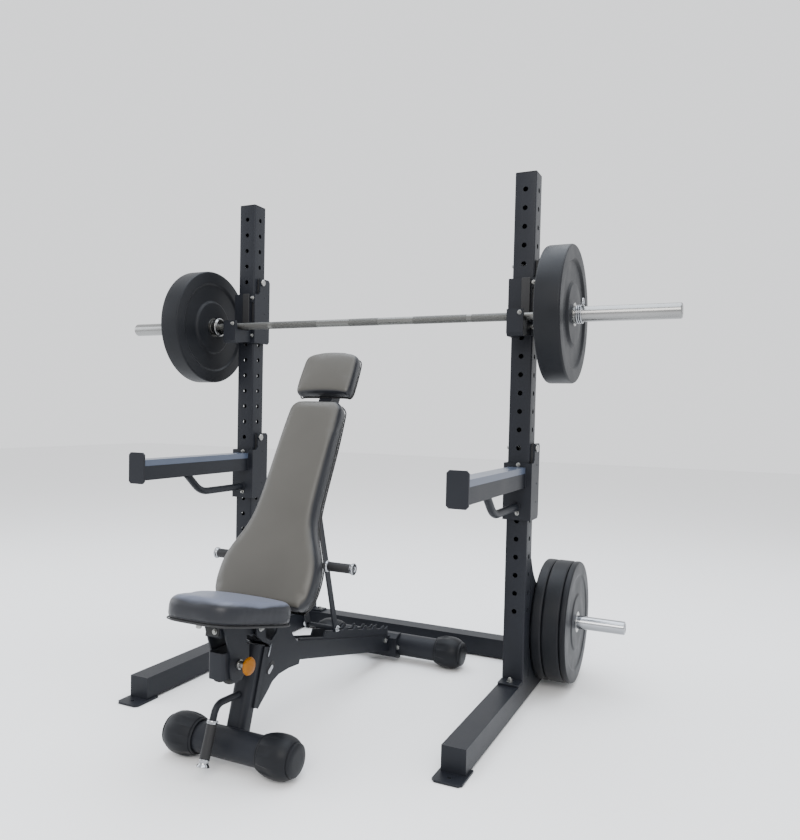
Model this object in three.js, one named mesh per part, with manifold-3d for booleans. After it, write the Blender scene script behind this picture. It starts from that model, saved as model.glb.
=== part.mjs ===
// Squat stand with an Olympic barbell, bumper plates and an adjustable bench.
// Millimetres. +X runs along the barbell, +Y from the lifter's feet to the back, +Z up.
import * as THREE from 'three';
import { mergeVertices } from 'three/addons/utils/BufferGeometryUtils.js';
import Module from 'manifold-3d';

const wasm = await Module();
wasm.setup();

// ---------- driving dimensions ----------
const GAP = 0.3;                 // clearance left between touching pieces
const CENTRE_SHIFT_Y = 275;      // puts the origin under the middle of the whole footprint

const TUBE = 75;                 // square tube of the stand
const WALL = 3;
const UPRIGHT_X = 579;           // centre plane of each upright
const UPRIGHT_TOP = 1844;
const HOLE_PITCH = 63.5;
const HOLE_COUNT = 24;
const HOLE_R = 8.75;
const FIRST_HOLE_Z = 1788.3;     // highest hole of an upright
const CAP_FLANGE = 4;
const FOOT_PLATE = 6;
const FOOT_TOP = FOOT_PLATE + TUBE;
const FOOT_FRONT_Y = -624;
const FOOT_REAR_Y = 477.5;

const BAR_Y = -100.7;
const BAR_Z = 1345.4;
const BAR_R = 14;
const BAR_HALF = 1100;
const COLLAR_X = 655;            // inner face of the sleeve's shoulder
const SHOULDER = 30;
const SLEEVE_R = 25;
const PLATE_R = 225;
const PLATE_BORE = 25.4;
const BAR_PLATE_X = 690;
const BAR_PLATE_T = 82;

const PEG_Y = 255;
const PEG_Z = 242;
const PEG_END = 916;
const STORED = [
  { x: 620, t: 37, name: 'stored_plate_inner' },
  { x: 658.5, t: 61, name: 'stored_plate_middle' },
  { x: 721, t: 22, name: 'stored_plate_outer' },
];

const BRACKET_FRONT_Y = -50;     // front face of a hook's front plate
const BRACKET_T = 6;
const BRACKET_H = 198;           // front plate
const SIDE_H = 266;              // side plate, carries the locking pin near its top
const PIN_DROP = 17;             // pin axis below the side plate's top
const PIN_R = 7;
const HOOK_Z = 1285;             // bottom of a J-hook's bracket
const ARM_Z = 650;               // bottom of a spotter arm's bracket
const ARM_FRONT_Y = -640;

const BENCH_X = -20;
const FOOT_TUBE_R = 44;
const CAP_R = 61.5;
const CAP_LENGTH = 112;
const FRONT_FOOT = { y: -864, left: 202, right: 239 };
const REAR_FOOT = { y: 212, left: 328, right: 330 };
const POST_W = 62;
const POST_D = 58;
const SPINE = 60;                // width of the spine
const SPINE_DROP = 61.5;         // its height
const CHEEK_IN = SPINE / 2 + GAP;
const CHEEK_T = 6;
const BACK_PIVOT = { y: -634.2, z: 374.9 };
const SEAT_PIVOT = { y: -755.1, z: 372.7 };
const BACK_ANGLE = 61.5;
const BACK_ORIGIN = { y: -750.8, z: 420 };
const SEAT_ANGLE = 10.5;
const SEAT_ORIGIN = { y: -748, z: 466 };
const PAD_T = 55;
const BACK_TUBE = 50;
const BACK_TUBE_FRONT = -58;     // front face of the back tube below the pad's front plane
const STRUT_TOP = { s: 409, off: -83 };
const STRUT_FOOT = { y: -338, z: 266 };
const STRUT_ROD_R = 8;
const LADDER_SLOPE = -0.239;
const LADDER_PITCH = 78;
const HANDLE_S = 180;
const POP_PIN = { y: -857, z: 292 };
const POP_PIN_R = 5;
const PIVOT_PIN_R = 7.6;
const PIVOT_BORE_R = 8.4;

// ---------- colours ----------
const finish = (color, roughness, metalness) =>
  new THREE.MeshStandardMaterial({ color, roughness, metalness });
const STEEL = finish(0x202226, 0.45, 0.3);
const PLASTIC = finish(0x141416, 0.55, 0);
const STRIP = finish(0x39414c, 0.5, 0);
const CHROME = finish(0xc9ccd0, 0.2, 1);
const SATIN = finish(0xa9a8a4, 0.35, 1);
const SHAFT = finish(0x55554f, 0.4, 0.9);
const RUBBER = finish(0x17181b, 0.6, 0);
const VINYL = finish(0x5a5853, 0.5, 0);
const KNOB = finish(0xd28a10, 0.4, 0);

// ---------- solids ----------
const deg = THREE.MathUtils.degToRad;

function toSolid(geometry) {
  if (geometry instanceof wasm.Manifold) return geometry;
  const bare = geometry.index ? geometry.clone() : geometry;
  bare.deleteAttribute('normal');
  bare.deleteAttribute('uv');
  const merged = mergeVertices(bare, 1e-4);
  return new wasm.Manifold(new wasm.Mesh({
    numProp: 3,
    vertProperties: new Float32Array(merged.attributes.position.array),
    triVerts: new Uint32Array(merged.index.array),
  }));
}

function fromSolid(solid) {
  const mesh = solid.getMesh();
  const geometry = new THREE.BufferGeometry();
  geometry.setAttribute('position', new THREE.BufferAttribute(mesh.vertProperties, 3));
  geometry.setIndex(new THREE.BufferAttribute(mesh.triVerts, 1));
  geometry.computeVertexNormals();
  return geometry;
}

function join(first, ...others) {
  return others.reduce((sum, g) => sum.add(toSolid(g)), toSolid(first));
}

function cut(first, ...tools) {
  return tools.reduce((rest, g) => rest.subtract(toSolid(g)), toSolid(first));
}

// A box between two corners.
function box(x0, x1, y0, y1, z0, z1) {
  const geometry = new THREE.BoxGeometry(x1 - x0, y1 - y0, z1 - z0);
  return geometry.translate((x0 + x1) / 2, (y0 + y1) / 2, (z0 + z1) / 2);
}

// A round bar between two points.
function rod(from, to, radius, sides = 20) {
  const a = new THREE.Vector3(...from);
  const b = new THREE.Vector3(...to);
  const along = b.clone().sub(a);
  const geometry = new THREE.CylinderGeometry(radius, radius, along.length(), sides);
  const turn = new THREE.Quaternion().setFromUnitVectors(
    new THREE.Vector3(0, 1, 0), along.clone().normalize());
  return geometry.applyQuaternion(turn).translate(...a.add(b).multiplyScalar(0.5).toArray());
}

function outline(points) {
  return new THREE.Shape(points.map(([u, v]) => new THREE.Vector2(u, v)));
}

function roundHole(shape, u, v, radius, sides = 16) {
  const hole = new THREE.Path();
  const turn = THREE.ShapeUtils.isClockWise(shape.getPoints()) ? 1 : -1;
  for (let i = 0; i < sides; i += 1) {
    const a = turn * (i / sides) * 2 * Math.PI;
    const point = [u + radius * Math.cos(a), v + radius * Math.sin(a)];
    if (i === 0) hole.moveTo(...point);
    else hole.lineTo(...point);
  }
  hole.closePath();
  shape.holes.push(hole);
  return shape;
}

function extrude(shape, depth) {
  return new THREE.ExtrudeGeometry(shape, { depth, bevelEnabled: false, curveSegments: 6 });
}

// A plate drawn in the Y-Z plane, from x0 to x1.
function plateYZ(shape, x0, x1) {
  const geometry = extrude(shape, x1 - x0);
  const basis = new THREE.Matrix4().makeBasis(
    new THREE.Vector3(0, 1, 0), new THREE.Vector3(0, 0, 1), new THREE.Vector3(1, 0, 0));
  return geometry.applyMatrix4(basis).translate(x0, 0, 0);
}

// A plate drawn in the X-Y plane, from z0 to z1.
function plateXY(shape, z0, z1) {
  return extrude(shape, z1 - z0).translate(0, 0, z0);
}

// A turned shape about X: the profile is a list of [radius, x], on the axis or closed.
function turned(profile, sides = 32) {
  const points = profile.map(([r, x]) => new THREE.Vector2(r, x));
  const geometry = new THREE.LatheGeometry(points, sides);
  return geometry.applyMatrix4(new THREE.Matrix4().makeBasis(
    new THREE.Vector3(0, 1, 0), new THREE.Vector3(1, 0, 0), new THREE.Vector3(0, 0, -1)));
}

// A round tube that follows a polyline with rounded corners.
function bentRod(points, radius, bend, steps, sides = 10) {
  const path = new THREE.CurvePath();
  const v = points.map((p) => new THREE.Vector3(...p));
  let start = v[0];
  for (let i = 1; i < v.length - 1; i += 1) {
    const before = v[i].clone().add(v[i - 1].clone().sub(v[i]).setLength(bend));
    const after = v[i].clone().add(v[i + 1].clone().sub(v[i]).setLength(bend));
    path.add(new THREE.LineCurve3(start, before));
    path.add(new THREE.QuadraticBezierCurve3(before, v[i], after));
    start = after;
  }
  path.add(new THREE.LineCurve3(start, v[v.length - 1]));
  const section = new THREE.Shape();
  for (let i = 0; i < sides; i += 1) {
    const a = (i / sides) * 2 * Math.PI;
    const point = [radius * Math.cos(a), radius * Math.sin(a)];
    if (i === 0) section.moveTo(...point);
    else section.lineTo(...point);
  }
  section.closePath();
  return new THREE.ExtrudeGeometry(section, { extrudePath: path, steps, bevelEnabled: false });
}

function mesh(name, shape, material, parent) {
  const geometry = shape instanceof wasm.Manifold ? fromSolid(shape) : shape;
  const item = new THREE.Mesh(geometry, material);
  item.name = name;
  parent.add(item);
  return item;
}

const SIDES = [['left', -1], ['right', 1]];
const holeHeights = Array.from({ length: HOLE_COUNT }, (_, k) => FIRST_HOLE_Z - k * HOLE_PITCH);

// ---------- stand ----------
function upright(x) {
  const h = TUBE / 2;
  const bottom = FOOT_TOP + GAP;
  const shell = cut(
    box(x - h, x + h, -h, h, bottom, UPRIGHT_TOP),
    box(x - h + WALL, x + h - WALL, -h + WALL, h - WALL, bottom + 8, UPRIGHT_TOP + 1));
  const holes = holeHeights.flatMap((z) => [
    rod([x, -h - 1, z], [x, h + 1, z], HOLE_R, 6),
    rod([x - h - 1, 0, z], [x + h + 1, 0, z], HOLE_R, 6),
  ]);
  const base = box(x - h, x + h, -h - 56, -h + 1, bottom, bottom + 8);
  return join(cut(shell, ...holes), base);
}

function uprightCap(x) {
  const h = TUBE / 2;
  const plug = h - WALL - GAP;
  return join(
    box(x - h, x + h, -h, h, UPRIGHT_TOP + GAP, UPRIGHT_TOP + CAP_FLANGE),
    box(x - plug, x + plug, -plug, plug, UPRIGHT_TOP - 16, UPRIGHT_TOP + 1));
}

function footPlate(x, front) {
  const plate = new THREE.Shape();
  const half = 45;
  const corner = 10;
  const length = 105;
  plate.moveTo(x - half + corner, front);
  plate.lineTo(x + half - corner, front);
  plate.lineTo(x + half, front + corner);
  plate.lineTo(x + half, front + length);
  plate.lineTo(x - half, front + length);
  plate.lineTo(x - half, front + corner);
  roundHole(plate, x, front + 29, 6.5, 12);
  return plateXY(plate, 0, FOOT_PLATE + 0.5);
}

// The web plate behind an upright, welded along the foot and flush with its outer side.
function gusset(side) {
  const shape = new THREE.Shape();
  const back = TUBE / 2 + GAP;
  const low = FOOT_TOP - 0.5;
  shape.moveTo(back, low);
  shape.lineTo(440, low);
  shape.lineTo(440, 196);
  shape.lineTo(150, 385);
  shape.quadraticCurveTo(72, 425, back, 505);
  const outer = side * (UPRIGHT_X + TUBE / 2);
  const inner = outer - side * 8;
  return plateYZ(shape, Math.min(outer, inner), Math.max(outer, inner));
}

function foot(side) {
  const x = side * UPRIGHT_X;
  const h = TUBE / 2;
  const tube = cut(
    box(x - h, x + h, FOOT_FRONT_Y, FOOT_REAR_Y, FOOT_PLATE, FOOT_TOP),
    box(x - h + WALL, x + h - WALL, FOOT_FRONT_Y + WALL, FOOT_REAR_Y - WALL,
      FOOT_PLATE + WALL, FOOT_TOP - WALL),
    rod([x, FOOT_FRONT_Y + 120, FOOT_PLATE - 1], [x, FOOT_FRONT_Y + 120, FOOT_PLATE + 5], 5, 8));
  const frontPlate = footPlate(x, FOOT_FRONT_Y - 59);
  const rearPlate = box(x - 37, x + 37, FOOT_REAR_Y - 80, FOOT_REAR_Y, 0, FOOT_PLATE + 0.5);
  return join(tube, frontPlate, rearPlate, gusset(side));
}

function crossMember() {
  const reach = UPRIGHT_X - TUBE / 2 - GAP;
  const y0 = FOOT_REAR_Y - TUBE;
  return cut(
    box(-reach, reach, y0, FOOT_REAR_Y, FOOT_PLATE, FOOT_TOP),
    box(-reach - 1, reach + 1, y0 + WALL, FOOT_REAR_Y - WALL, FOOT_PLATE + WALL, FOOT_TOP - WALL));
}

function storagePeg() {
  const face = UPRIGHT_X + TUBE / 2 + GAP;
  return turned([
    [0, face], [34, face], [34, face + 2.5], [SLEEVE_R - 0.5, face + 2.5],
    [SLEEVE_R - 0.5, PEG_END], [0, PEG_END],
  ], 20).translate(0, PEG_Y, PEG_Z);
}

// A bumper plate between x0 and x0 + t: flat rim, shallow recess, raised hub.
function bumper(x0, t) {
  const recess = Math.min(10, t * 0.18);
  const x1 = x0 + t;
  return turned([
    [PLATE_BORE, x0], [100, x0], [106, x0 + recess], [172, x0 + recess], [178, x0],
    [PLATE_R, x0], [PLATE_R, x1],
    [178, x1], [172, x1 - recess], [106, x1 - recess], [100, x1], [PLATE_BORE, x1],
    [PLATE_BORE, x0],
  ], 26);
}

// ---------- brackets on the uprights ----------
// A bracket wraps the upright's front and its +X side; z0 is the front plate's bottom.
function bracket(x, z0) {
  const half = TUBE / 2;
  const outer = x + half + 8.5 + BRACKET_T;
  const left = x - half - 10;
  const top = z0 + SIDE_H;
  const front = box(left, outer, BRACKET_FRONT_Y, BRACKET_FRONT_Y + BRACKET_T, z0, z0 + BRACKET_H);
  const lip = box(left, left + BRACKET_T, BRACKET_FRONT_Y, 0, z0, z0 + BRACKET_H);
  const side = outline([
    [BRACKET_FRONT_Y, z0], [44, z0], [54, z0 + 10], [54, top - 10], [46, top], [-14, top],
    [-14, z0 + BRACKET_H + 12], [-26, z0 + BRACKET_H], [BRACKET_FRONT_Y, z0 + BRACKET_H],
  ]);
  roundHole(side, 0, top - PIN_DROP, PIN_R + 0.6, 12);
  return join(front, lip, plateYZ(side, outer - BRACKET_T, outer));
}

// The plastic liner that keeps the bracket off the upright.
function bracketLiner(x, z0) {
  const half = TUBE / 2;
  const inner = x + half + GAP;
  const outer = x + half + 8.5 - GAP;
  const front = BRACKET_FRONT_Y + BRACKET_T + GAP;
  const side = outline([
    [front, z0 + 4], [40, z0 + 4], [40, z0 + SIDE_H - 4], [-14, z0 + SIDE_H - 4],
    [-14, z0 + BRACKET_H - 4], [front, z0 + BRACKET_H - 4],
  ]);
  roundHole(side, 0, z0 + SIDE_H - PIN_DROP, PIN_R + 0.6, 12);
  return join(
    box(x - half - 3, outer, front, -half - GAP, z0 + 4, z0 + BRACKET_H - 4),
    plateYZ(side, inner, outer));
}

// The cradle: a base block that carries the bar and a lip in front of it.
const CRADLE = { x0: -20, x1: 36, lip: -158, lipT: 16, lipTop: 1364, low: 1276 };

function jHook(x) {
  const c = CRADLE;
  const seat = BAR_Z - BAR_R - GAP;
  const profile = new THREE.Shape();
  const back = BRACKET_FRONT_Y + 1;
  profile.moveTo(back, HOOK_Z + 4);
  profile.lineTo(back, seat + 10);
  profile.lineTo(BRACKET_FRONT_Y - 12, seat + 3);
  profile.lineTo(BRACKET_FRONT_Y - 22, seat);
  profile.lineTo(c.lip + c.lipT + 4, seat);
  profile.lineTo(c.lip + c.lipT, seat + 4);
  profile.lineTo(c.lip + c.lipT - 4, c.lipTop);
  profile.lineTo(c.lip, c.lipTop);
  profile.lineTo(c.lip, c.low + 10);
  profile.lineTo(c.lip + 10, c.low);
  const plate = bracket(x, HOOK_Z);
  const guard = box(x + 2, x + 32, BRACKET_FRONT_Y - 8, BRACKET_FRONT_Y + 1, seat + 6,
    HOOK_Z + BRACKET_H - 6);
  const slot = box(x + 35, x + 46, BRACKET_FRONT_Y - 1, BRACKET_FRONT_Y + BRACKET_T + 1,
    seat + 26, HOOK_Z + BRACKET_H - 34);
  return cut(join(plate, plateYZ(profile, x + c.x0, x + c.x1), guard), slot);
}

function lockPin(x, z0) {
  const z = z0 + SIDE_H - PIN_DROP;
  const outer = x + TUBE / 2 + 8.5 + BRACKET_T + GAP;
  return join(
    rod([x - TUBE / 2 - 13, 0, z], [outer + 1, 0, z], PIN_R, 14),
    rod([outer, 0, z], [outer + 9, 0, z], 13, 14));
}

// The arm: bracket, tube, end plate and bent brace welded together; a strip lies on the tube.
const ARM = { half: 30, low: ARM_Z + 114, high: ARM_Z + 163, stripTop: ARM_Z + 184 };

function spotterArm(x) {
  const rear = BRACKET_FRONT_Y + 1;
  const tube = cut(
    box(x - ARM.half, x + ARM.half, ARM_FRONT_Y, rear, ARM.low, ARM.high),
    box(x - ARM.half + WALL, x + ARM.half - WALL, ARM_FRONT_Y, rear - WALL,
      ARM.low + WALL, ARM.high - WALL),
    rod([x, -120, ARM.low - 1], [x, -120, ARM.low + 5], 5, 8));
  const c = 8;
  const end = outline([
    [-33 + c, ARM_Z + 102], [33 - c, ARM_Z + 102], [33, ARM_Z + 102 + c],
    [33, ARM_Z + 209 - c], [33 - c, ARM_Z + 209], [-33 + c, ARM_Z + 209],
    [-33, ARM_Z + 209 - c], [-33, ARM_Z + 102 + c],
  ]);
  const plate = extrude(end, 8).rotateX(Math.PI / 2).translate(x, ARM_FRONT_Y + 1, 0);
  const drop = 68;
  const brace = bentRod([
    [x, -388, ARM.low + 2], [x, -310, ARM.low - drop], [x, rear, ARM.low - drop],
  ], 13, 42, 12, 8);
  return join(bracket(x, ARM_Z), tube, plate, brace);
}

function spotterStrip(x) {
  return box(x - ARM.half, x + ARM.half, ARM_FRONT_Y + 1 + GAP, BRACKET_FRONT_Y - GAP,
    ARM.high + GAP, ARM.stripTop);
}

// ---------- barbell ----------
function sleeve(side) {
  const bore = BAR_R + 0.4;
  const profile = [
    [bore, COLLAR_X], [37, COLLAR_X], [37, COLLAR_X + 14], [32, COLLAR_X + 18],
    [32, COLLAR_X + SHOULDER], [SLEEVE_R, COLLAR_X + SHOULDER], [SLEEVE_R, BAR_HALF],
    [0, BAR_HALF], [0, BAR_HALF - 10], [bore, BAR_HALF - 10], [bore, COLLAR_X],
  ];
  const geometry = turned(profile, 20);
  if (side < 0) geometry.rotateZ(Math.PI);
  return geometry;
}

class CollarCurve extends THREE.Curve {
  getPoint(t) {
    const turns = 3.5;
    const coilShare = 0.86;
    const radius = SLEEVE_R + 4.6;
    const pitch = 6.6;
    const coil = Math.min(t / coilShare, 1);
    const angle = coil * turns * 2 * Math.PI - Math.PI / 2;
    const tail = Math.max((t - coilShare) / (1 - coilShare), 0) * 52;
    const out = new THREE.Vector3(
      coil * turns * pitch, radius * Math.cos(angle), radius * Math.sin(angle));
    const tangent = new THREE.Vector3(0.1, -Math.sin(angle), Math.cos(angle));
    return out.addScaledVector(tangent.normalize(), tail);
  }
}

function springCollar(x0) {
  const section = new THREE.Shape();
  const wire = 2.4;
  for (let i = 0; i < 5; i += 1) {
    const a = (i / 5) * 2 * Math.PI;
    const point = [wire * Math.cos(a), wire * Math.sin(a)];
    if (i === 0) section.moveTo(...point);
    else section.lineTo(...point);
  }
  section.closePath();
  const geometry = new THREE.ExtrudeGeometry(section, {
    extrudePath: new CollarCurve(), steps: 44, bevelEnabled: false });
  return geometry.translate(x0 + wire + GAP, 0, 0);
}

// ---------- bench frame ----------
function footTube(place) {
  const x0 = 24 - place.left;
  const x1 = place.right - 24;
  const outer = rod([x0, place.y, CAP_R], [x1, place.y, CAP_R], FOOT_TUBE_R, 20);
  const inner = rod([x0 - 1, place.y, CAP_R], [x1 + 1, place.y, CAP_R], FOOT_TUBE_R - WALL, 20);
  return cut(outer, inner);
}

// A bulbed rubber boot over the end of a foot tube.
function footCap(place, side) {
  const end = side < 0 ? place.left : place.right;
  const bore = FOOT_TUBE_R + GAP + 0.2;
  const geometry = turned([
    [0, end - 23], [bore, end - 23], [bore, end - CAP_LENGTH], [52, end - CAP_LENGTH],
    [CAP_R, end - 70], [CAP_R, end - 42], [50, end - 7], [46, end], [0, end],
  ], 20);
  if (side < 0) geometry.rotateZ(Math.PI);
  return geometry.translate(0, place.y, CAP_R);
}

// The post leans forward; u runs up along it and the front face is at v = 0.
const POST = { y: -835, z: 101, lean: Math.atan2(68, 221) };

function postPoint(u, v) {
  const s = Math.sin(POST.lean);
  const c = Math.cos(POST.lean);
  return [POST.y + u * s + v * c, POST.z + u * c - v * s];
}

function post() {
  const shape = outline([postPoint(-60, 0), postPoint(-60, POST_D), postPoint(232, POST_D),
    postPoint(232, 0)]);
  const core = outline([postPoint(-61, WALL), postPoint(-61, POST_D - WALL),
    postPoint(233, POST_D - WALL), postPoint(233, WALL)]);
  const w = POST_W / 2;
  const tube = rod([-200, FRONT_FOOT.y, CAP_R], [200, FRONT_FOOT.y, CAP_R], FOOT_TUBE_R + GAP, 20);
  return join(cut(plateYZ(shape, -w, w), plateYZ(core, -w + WALL, w - WALL), tube), seatCradle());
}

function spineTop(y) {
  return 271.6 + LADDER_SLOPE * (y + 534.6);
}

function spine() {
  const front = -703;
  const rear = REAR_FOOT.y - 20;
  const shape = outline([
    [front, spineTop(front) - SPINE_DROP], [rear, spineTop(rear) - SPINE_DROP],
    [rear, spineTop(rear)],
    [front, spineTop(front)],
  ]);
  const core = outline([
    [front - 1, spineTop(front - 1) - SPINE_DROP + WALL],
    [rear - 20, spineTop(rear - 20) - SPINE_DROP + WALL],
    [rear - 20, spineTop(rear - 20) - WALL], [front - 1, spineTop(front - 1) - WALL],
  ]);
  const h = SPINE / 2;
  const saddle = outline([
    [REAR_FOOT.y - 58, 22], [REAR_FOOT.y - 30, 12], [REAR_FOOT.y - 10, 12],
    [REAR_FOOT.y - 10, 112], [REAR_FOOT.y - 34, 112], [REAR_FOOT.y - 58, 98],
  ]);
  const tube = rod([-200, REAR_FOOT.y, CAP_R], [200, REAR_FOOT.y, CAP_R], FOOT_TUBE_R + GAP, 20);
  return cut(
    join(cut(plateYZ(shape, -h, h), plateYZ(core, -h + WALL, h - WALL)),
      plateYZ(saddle, -62, 62), ladder(-1), ladder(1)),
    tube);
}

// The side plates that tie post and spine together and carry both pivots.
function cheekPoints() {
  const [y0, z0] = postPoint(50, POST_D + GAP);
  const [y1, z1] = postPoint(232, POST_D + GAP);
  return [
    [y0, z0], [-712, 172], [-690, 191], [-655, 202], [-600, 204], [-540, 199],
    [-536, 212], [-536, 262], [-560, 282], [-590, 318], [-612, 372], [-618, 391], [-634, 397],
    [-650, 391], [-660, 372], [-672, 336], [-700, 318], [-728, 334], [-734, 372], [-739, 387],
    [-755, 394], [-771, 387], [-778, 372], [-776, 352],
    [y1 - POST_D * 0.6, z1 + 22], [y1 + 1, z1 + 2],
  ];
}

function cheek(side) {
  const shape = outline(cheekPoints());
  roundHole(shape, BACK_PIVOT.y, BACK_PIVOT.z, PIVOT_BORE_R, 10);
  roundHole(shape, SEAT_PIVOT.y, SEAT_PIVOT.z, PIVOT_BORE_R, 10);
  return side < 0
    ? plateYZ(shape, -CHEEK_IN - CHEEK_T, -CHEEK_IN)
    : plateYZ(shape, CHEEK_IN, CHEEK_IN + CHEEK_T);
}

// One toothed rail of the ladder; the foot rod of the strut rests behind a tooth.
function ladder(side) {
  const base = (y) => spineTop(y) - 0.5;
  const rest = (y) => STRUT_FOOT.z + LADDER_SLOPE * (y - STRUT_FOOT.y) - STRUT_ROD_R - 1;
  const shape = new THREE.Shape();
  const first = -525;
  const last = 148;
  shape.moveTo(first, base(first));
  shape.lineTo(last, base(last));
  shape.lineTo(last, rest(last) + 8);
  for (let k = 5; k >= 0; k -= 1) {
    const tip = STRUT_FOOT.y + 62 + k * LADDER_PITCH;
    const rise = [2, 8, 12, 12, 10, 8][k];
    shape.lineTo(tip + 16, rest(tip + 16) - 3);
    shape.lineTo(tip + 4, rest(tip + 4) - 3);
    shape.lineTo(tip, rest(tip) + rise);
    shape.lineTo(tip - 12, rest(tip - 12) + rise);
    shape.lineTo(tip - 28, rest(tip - 28) - 3);
  }
  shape.lineTo(STRUT_FOOT.y - 18, rest(STRUT_FOOT.y - 18) - 3);
  shape.lineTo(STRUT_FOOT.y - 30, base(STRUT_FOOT.y - 30) + 8);
  shape.lineTo(first, base(first) + 8);
  const inner = SPINE / 2 - 8;
  return side < 0 ? plateYZ(shape, -inner - 5, -inner) : plateYZ(shape, inner, inner + 5);
}

// The folded cradle in front of the post, open at the top, that carries the seat's pop pin.
const CRADLE_BOX = { half: 28, low: 260, high: 336, front: -918, rear: -802, wall: 5, bend: 9 };

function seatCradle() {
  const r = CRADLE_BOX;
  const rear = outline([
    [r.front, r.low],
    [postPoint((r.low - POST.z) / Math.cos(POST.lean), 0)[0] + 1, r.low],
    [postPoint((r.high - POST.z) / Math.cos(POST.lean), 0)[0] + 1, r.high],
    [r.front, r.high],
  ]);
  const pocket = outline([
    [-r.half + r.wall, r.rear], [-r.half + r.wall, r.front + r.wall + 5],
    [-r.half + r.wall + 5, r.front + r.wall], [r.half - r.wall - 5, r.front + r.wall],
    [r.half - r.wall, r.front + r.wall + 5], [r.half - r.wall, r.rear],
  ]);
  const corner = (side) => outline([
    [side * (r.half + 1), r.front - 1], [side * (r.half + 1), r.front + r.bend],
    [side * r.half, r.front + r.bend], [side * (r.half - r.bend * 0.3), r.front + r.bend * 0.3],
    [side * (r.half - r.bend), r.front], [side * (r.half - r.bend), r.front - 1],
  ]);
  const slot = new THREE.Shape();
  const radius = Math.hypot(POP_PIN.y - SEAT_PIVOT.y, POP_PIN.z - SEAT_PIVOT.z);
  const middle = Math.atan2(POP_PIN.z - SEAT_PIVOT.z, POP_PIN.y - SEAT_PIVOT.y);
  const sweep = deg(17);
  const clear = POP_PIN_R + 0.6;
  slot.absarc(SEAT_PIVOT.y, SEAT_PIVOT.z, radius + clear, middle - sweep, middle + sweep, false);
  slot.absarc(SEAT_PIVOT.y, SEAT_PIVOT.z, radius - clear, middle + sweep, middle - sweep, true);
  return cut(
    plateYZ(rear, -r.half, r.half),
    plateXY(pocket, r.low + r.wall, r.high + 1),
    plateXY(corner(-1), r.low - 1, r.high + 1),
    plateXY(corner(1), r.low - 1, r.high + 1),
    plateYZ(slot, r.half - 6, r.half + 1));
}

// The bent carrying handle in front of the post: tube, collars and grip.
const FRONT_GRIP = { top: [0, -930, 142], bottom: [0, -961, 54] };

function gripPoint(t) {
  const { top, bottom } = FRONT_GRIP;
  return top.map((value, i) => value + (bottom[i] - value) * t);
}

function frontHandle() {
  const [y, z] = postPoint(86, -4);
  return bentRod([[0, y, z], gripPoint(-0.5455), gripPoint(1.22)], 10, 28, 14, 8);
}

function frontGrip() {
  return cut(rod(gripPoint(0.02), gripPoint(0.98), 14.5, 14), rod(gripPoint(-0.1), gripPoint(1.1),
    10 + GAP + 0.2, 14));
}

// ---------- back rest, in its own frame: y along the pad, z out of its front ----------
const PAD_HALF = [
  [18, 148], [26, 160], [50, 171], [85, 176], [118, 178], [150, 175], [185, 165], [215, 152],
  [250, 136], [300, 121], [350, 114], [420, 111], [560, 108], [690, 100], [708, 94], [720, 80],
  [726, 56],
];

function padOutline(half) {
  return outline([...half.map(([s, w]) => [w, s]), ...half.map(([s, w]) => [-w, s]).reverse()]);
}

function backPad() {
  return plateXY(padOutline(PAD_HALF), -PAD_T, 0);
}

const HEAD_HALF = [
  [750, 96], [756, 105], [775, 109], [850, 108], [895, 104], [908, 97], [917, 70], [923, 30],
];

function headPad() {
  return plateXY(padOutline(HEAD_HALF), -PAD_T - 2, -12);
}

function backTube() {
  const h = BACK_TUBE / 2;
  const rear = BACK_TUBE_FRONT - BACK_TUBE;
  const tube = cut(
    box(-h, h, -8, 880, rear, BACK_TUBE_FRONT),
    box(-h + WALL, h - WALL, -9, 881, rear + WALL, BACK_TUBE_FRONT - WALL));
  const [py, pz] = [16, -124];
  const lug = outline([
    [-8, BACK_TUBE_FRONT - 4], [78, BACK_TUBE_FRONT - 4], [78, rear + 8], [py + 24, pz - 4],
    [py + 14, pz - 19], [py, pz - 23], [py - 14, pz - 19], [py - 24, pz - 4],
  ]);
  roundHole(lug, py, pz, PIVOT_BORE_R, 10);
  const lugs = [plateYZ(lug, -h - 4.5, -h + 0.5), plateYZ(lug, h - 0.5, h + 4.5)];
  const holes = [
    rod([-h - 6, py, pz], [h + 6, py, pz], PIVOT_BORE_R, 10),
    rod([-h - 1, HANDLE_S, -83], [h + 1, HANDLE_S, -83], 10, 10),
    rod([-h - 1, STRUT_TOP.s, STRUT_TOP.off], [h + 1, STRUT_TOP.s, STRUT_TOP.off], 7.4, 10),
  ];
  return cut(join(tube, ...lugs), ...holes);
}

function backHandle() {
  const reach = 258;
  return join(
    rod([-reach, HANDLE_S, -83], [reach, HANDLE_S, -83], 9, 12),
    ...[-1, 1].flatMap((side) => [
      rod([side * 246, HANDLE_S, -83], [side * reach, HANDLE_S, -83], 18, 12),
      rod([side * 160, HANDLE_S, -83], [side * 170, HANDLE_S, -83], 18, 12),
    ]));
}

function backGrip(side) {
  return cut(
    rod([side * 170.3, HANDLE_S, -83], [side * 245.7, HANDLE_S, -83], 14.5, 14),
    rod([side * 165, HANDLE_S, -83], [side * 250, HANDLE_S, -83], 9 + GAP + 0.2, 12));
}

function headed(y, z, half, radius) {
  return join(
    rod([-half, y, z], [half, y, z], radius, 10),
    ...[-1, 1].map((side) => rod([side * half, y, z], [side * (half + 8), y, z], radius + 5, 6)));
}

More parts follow.
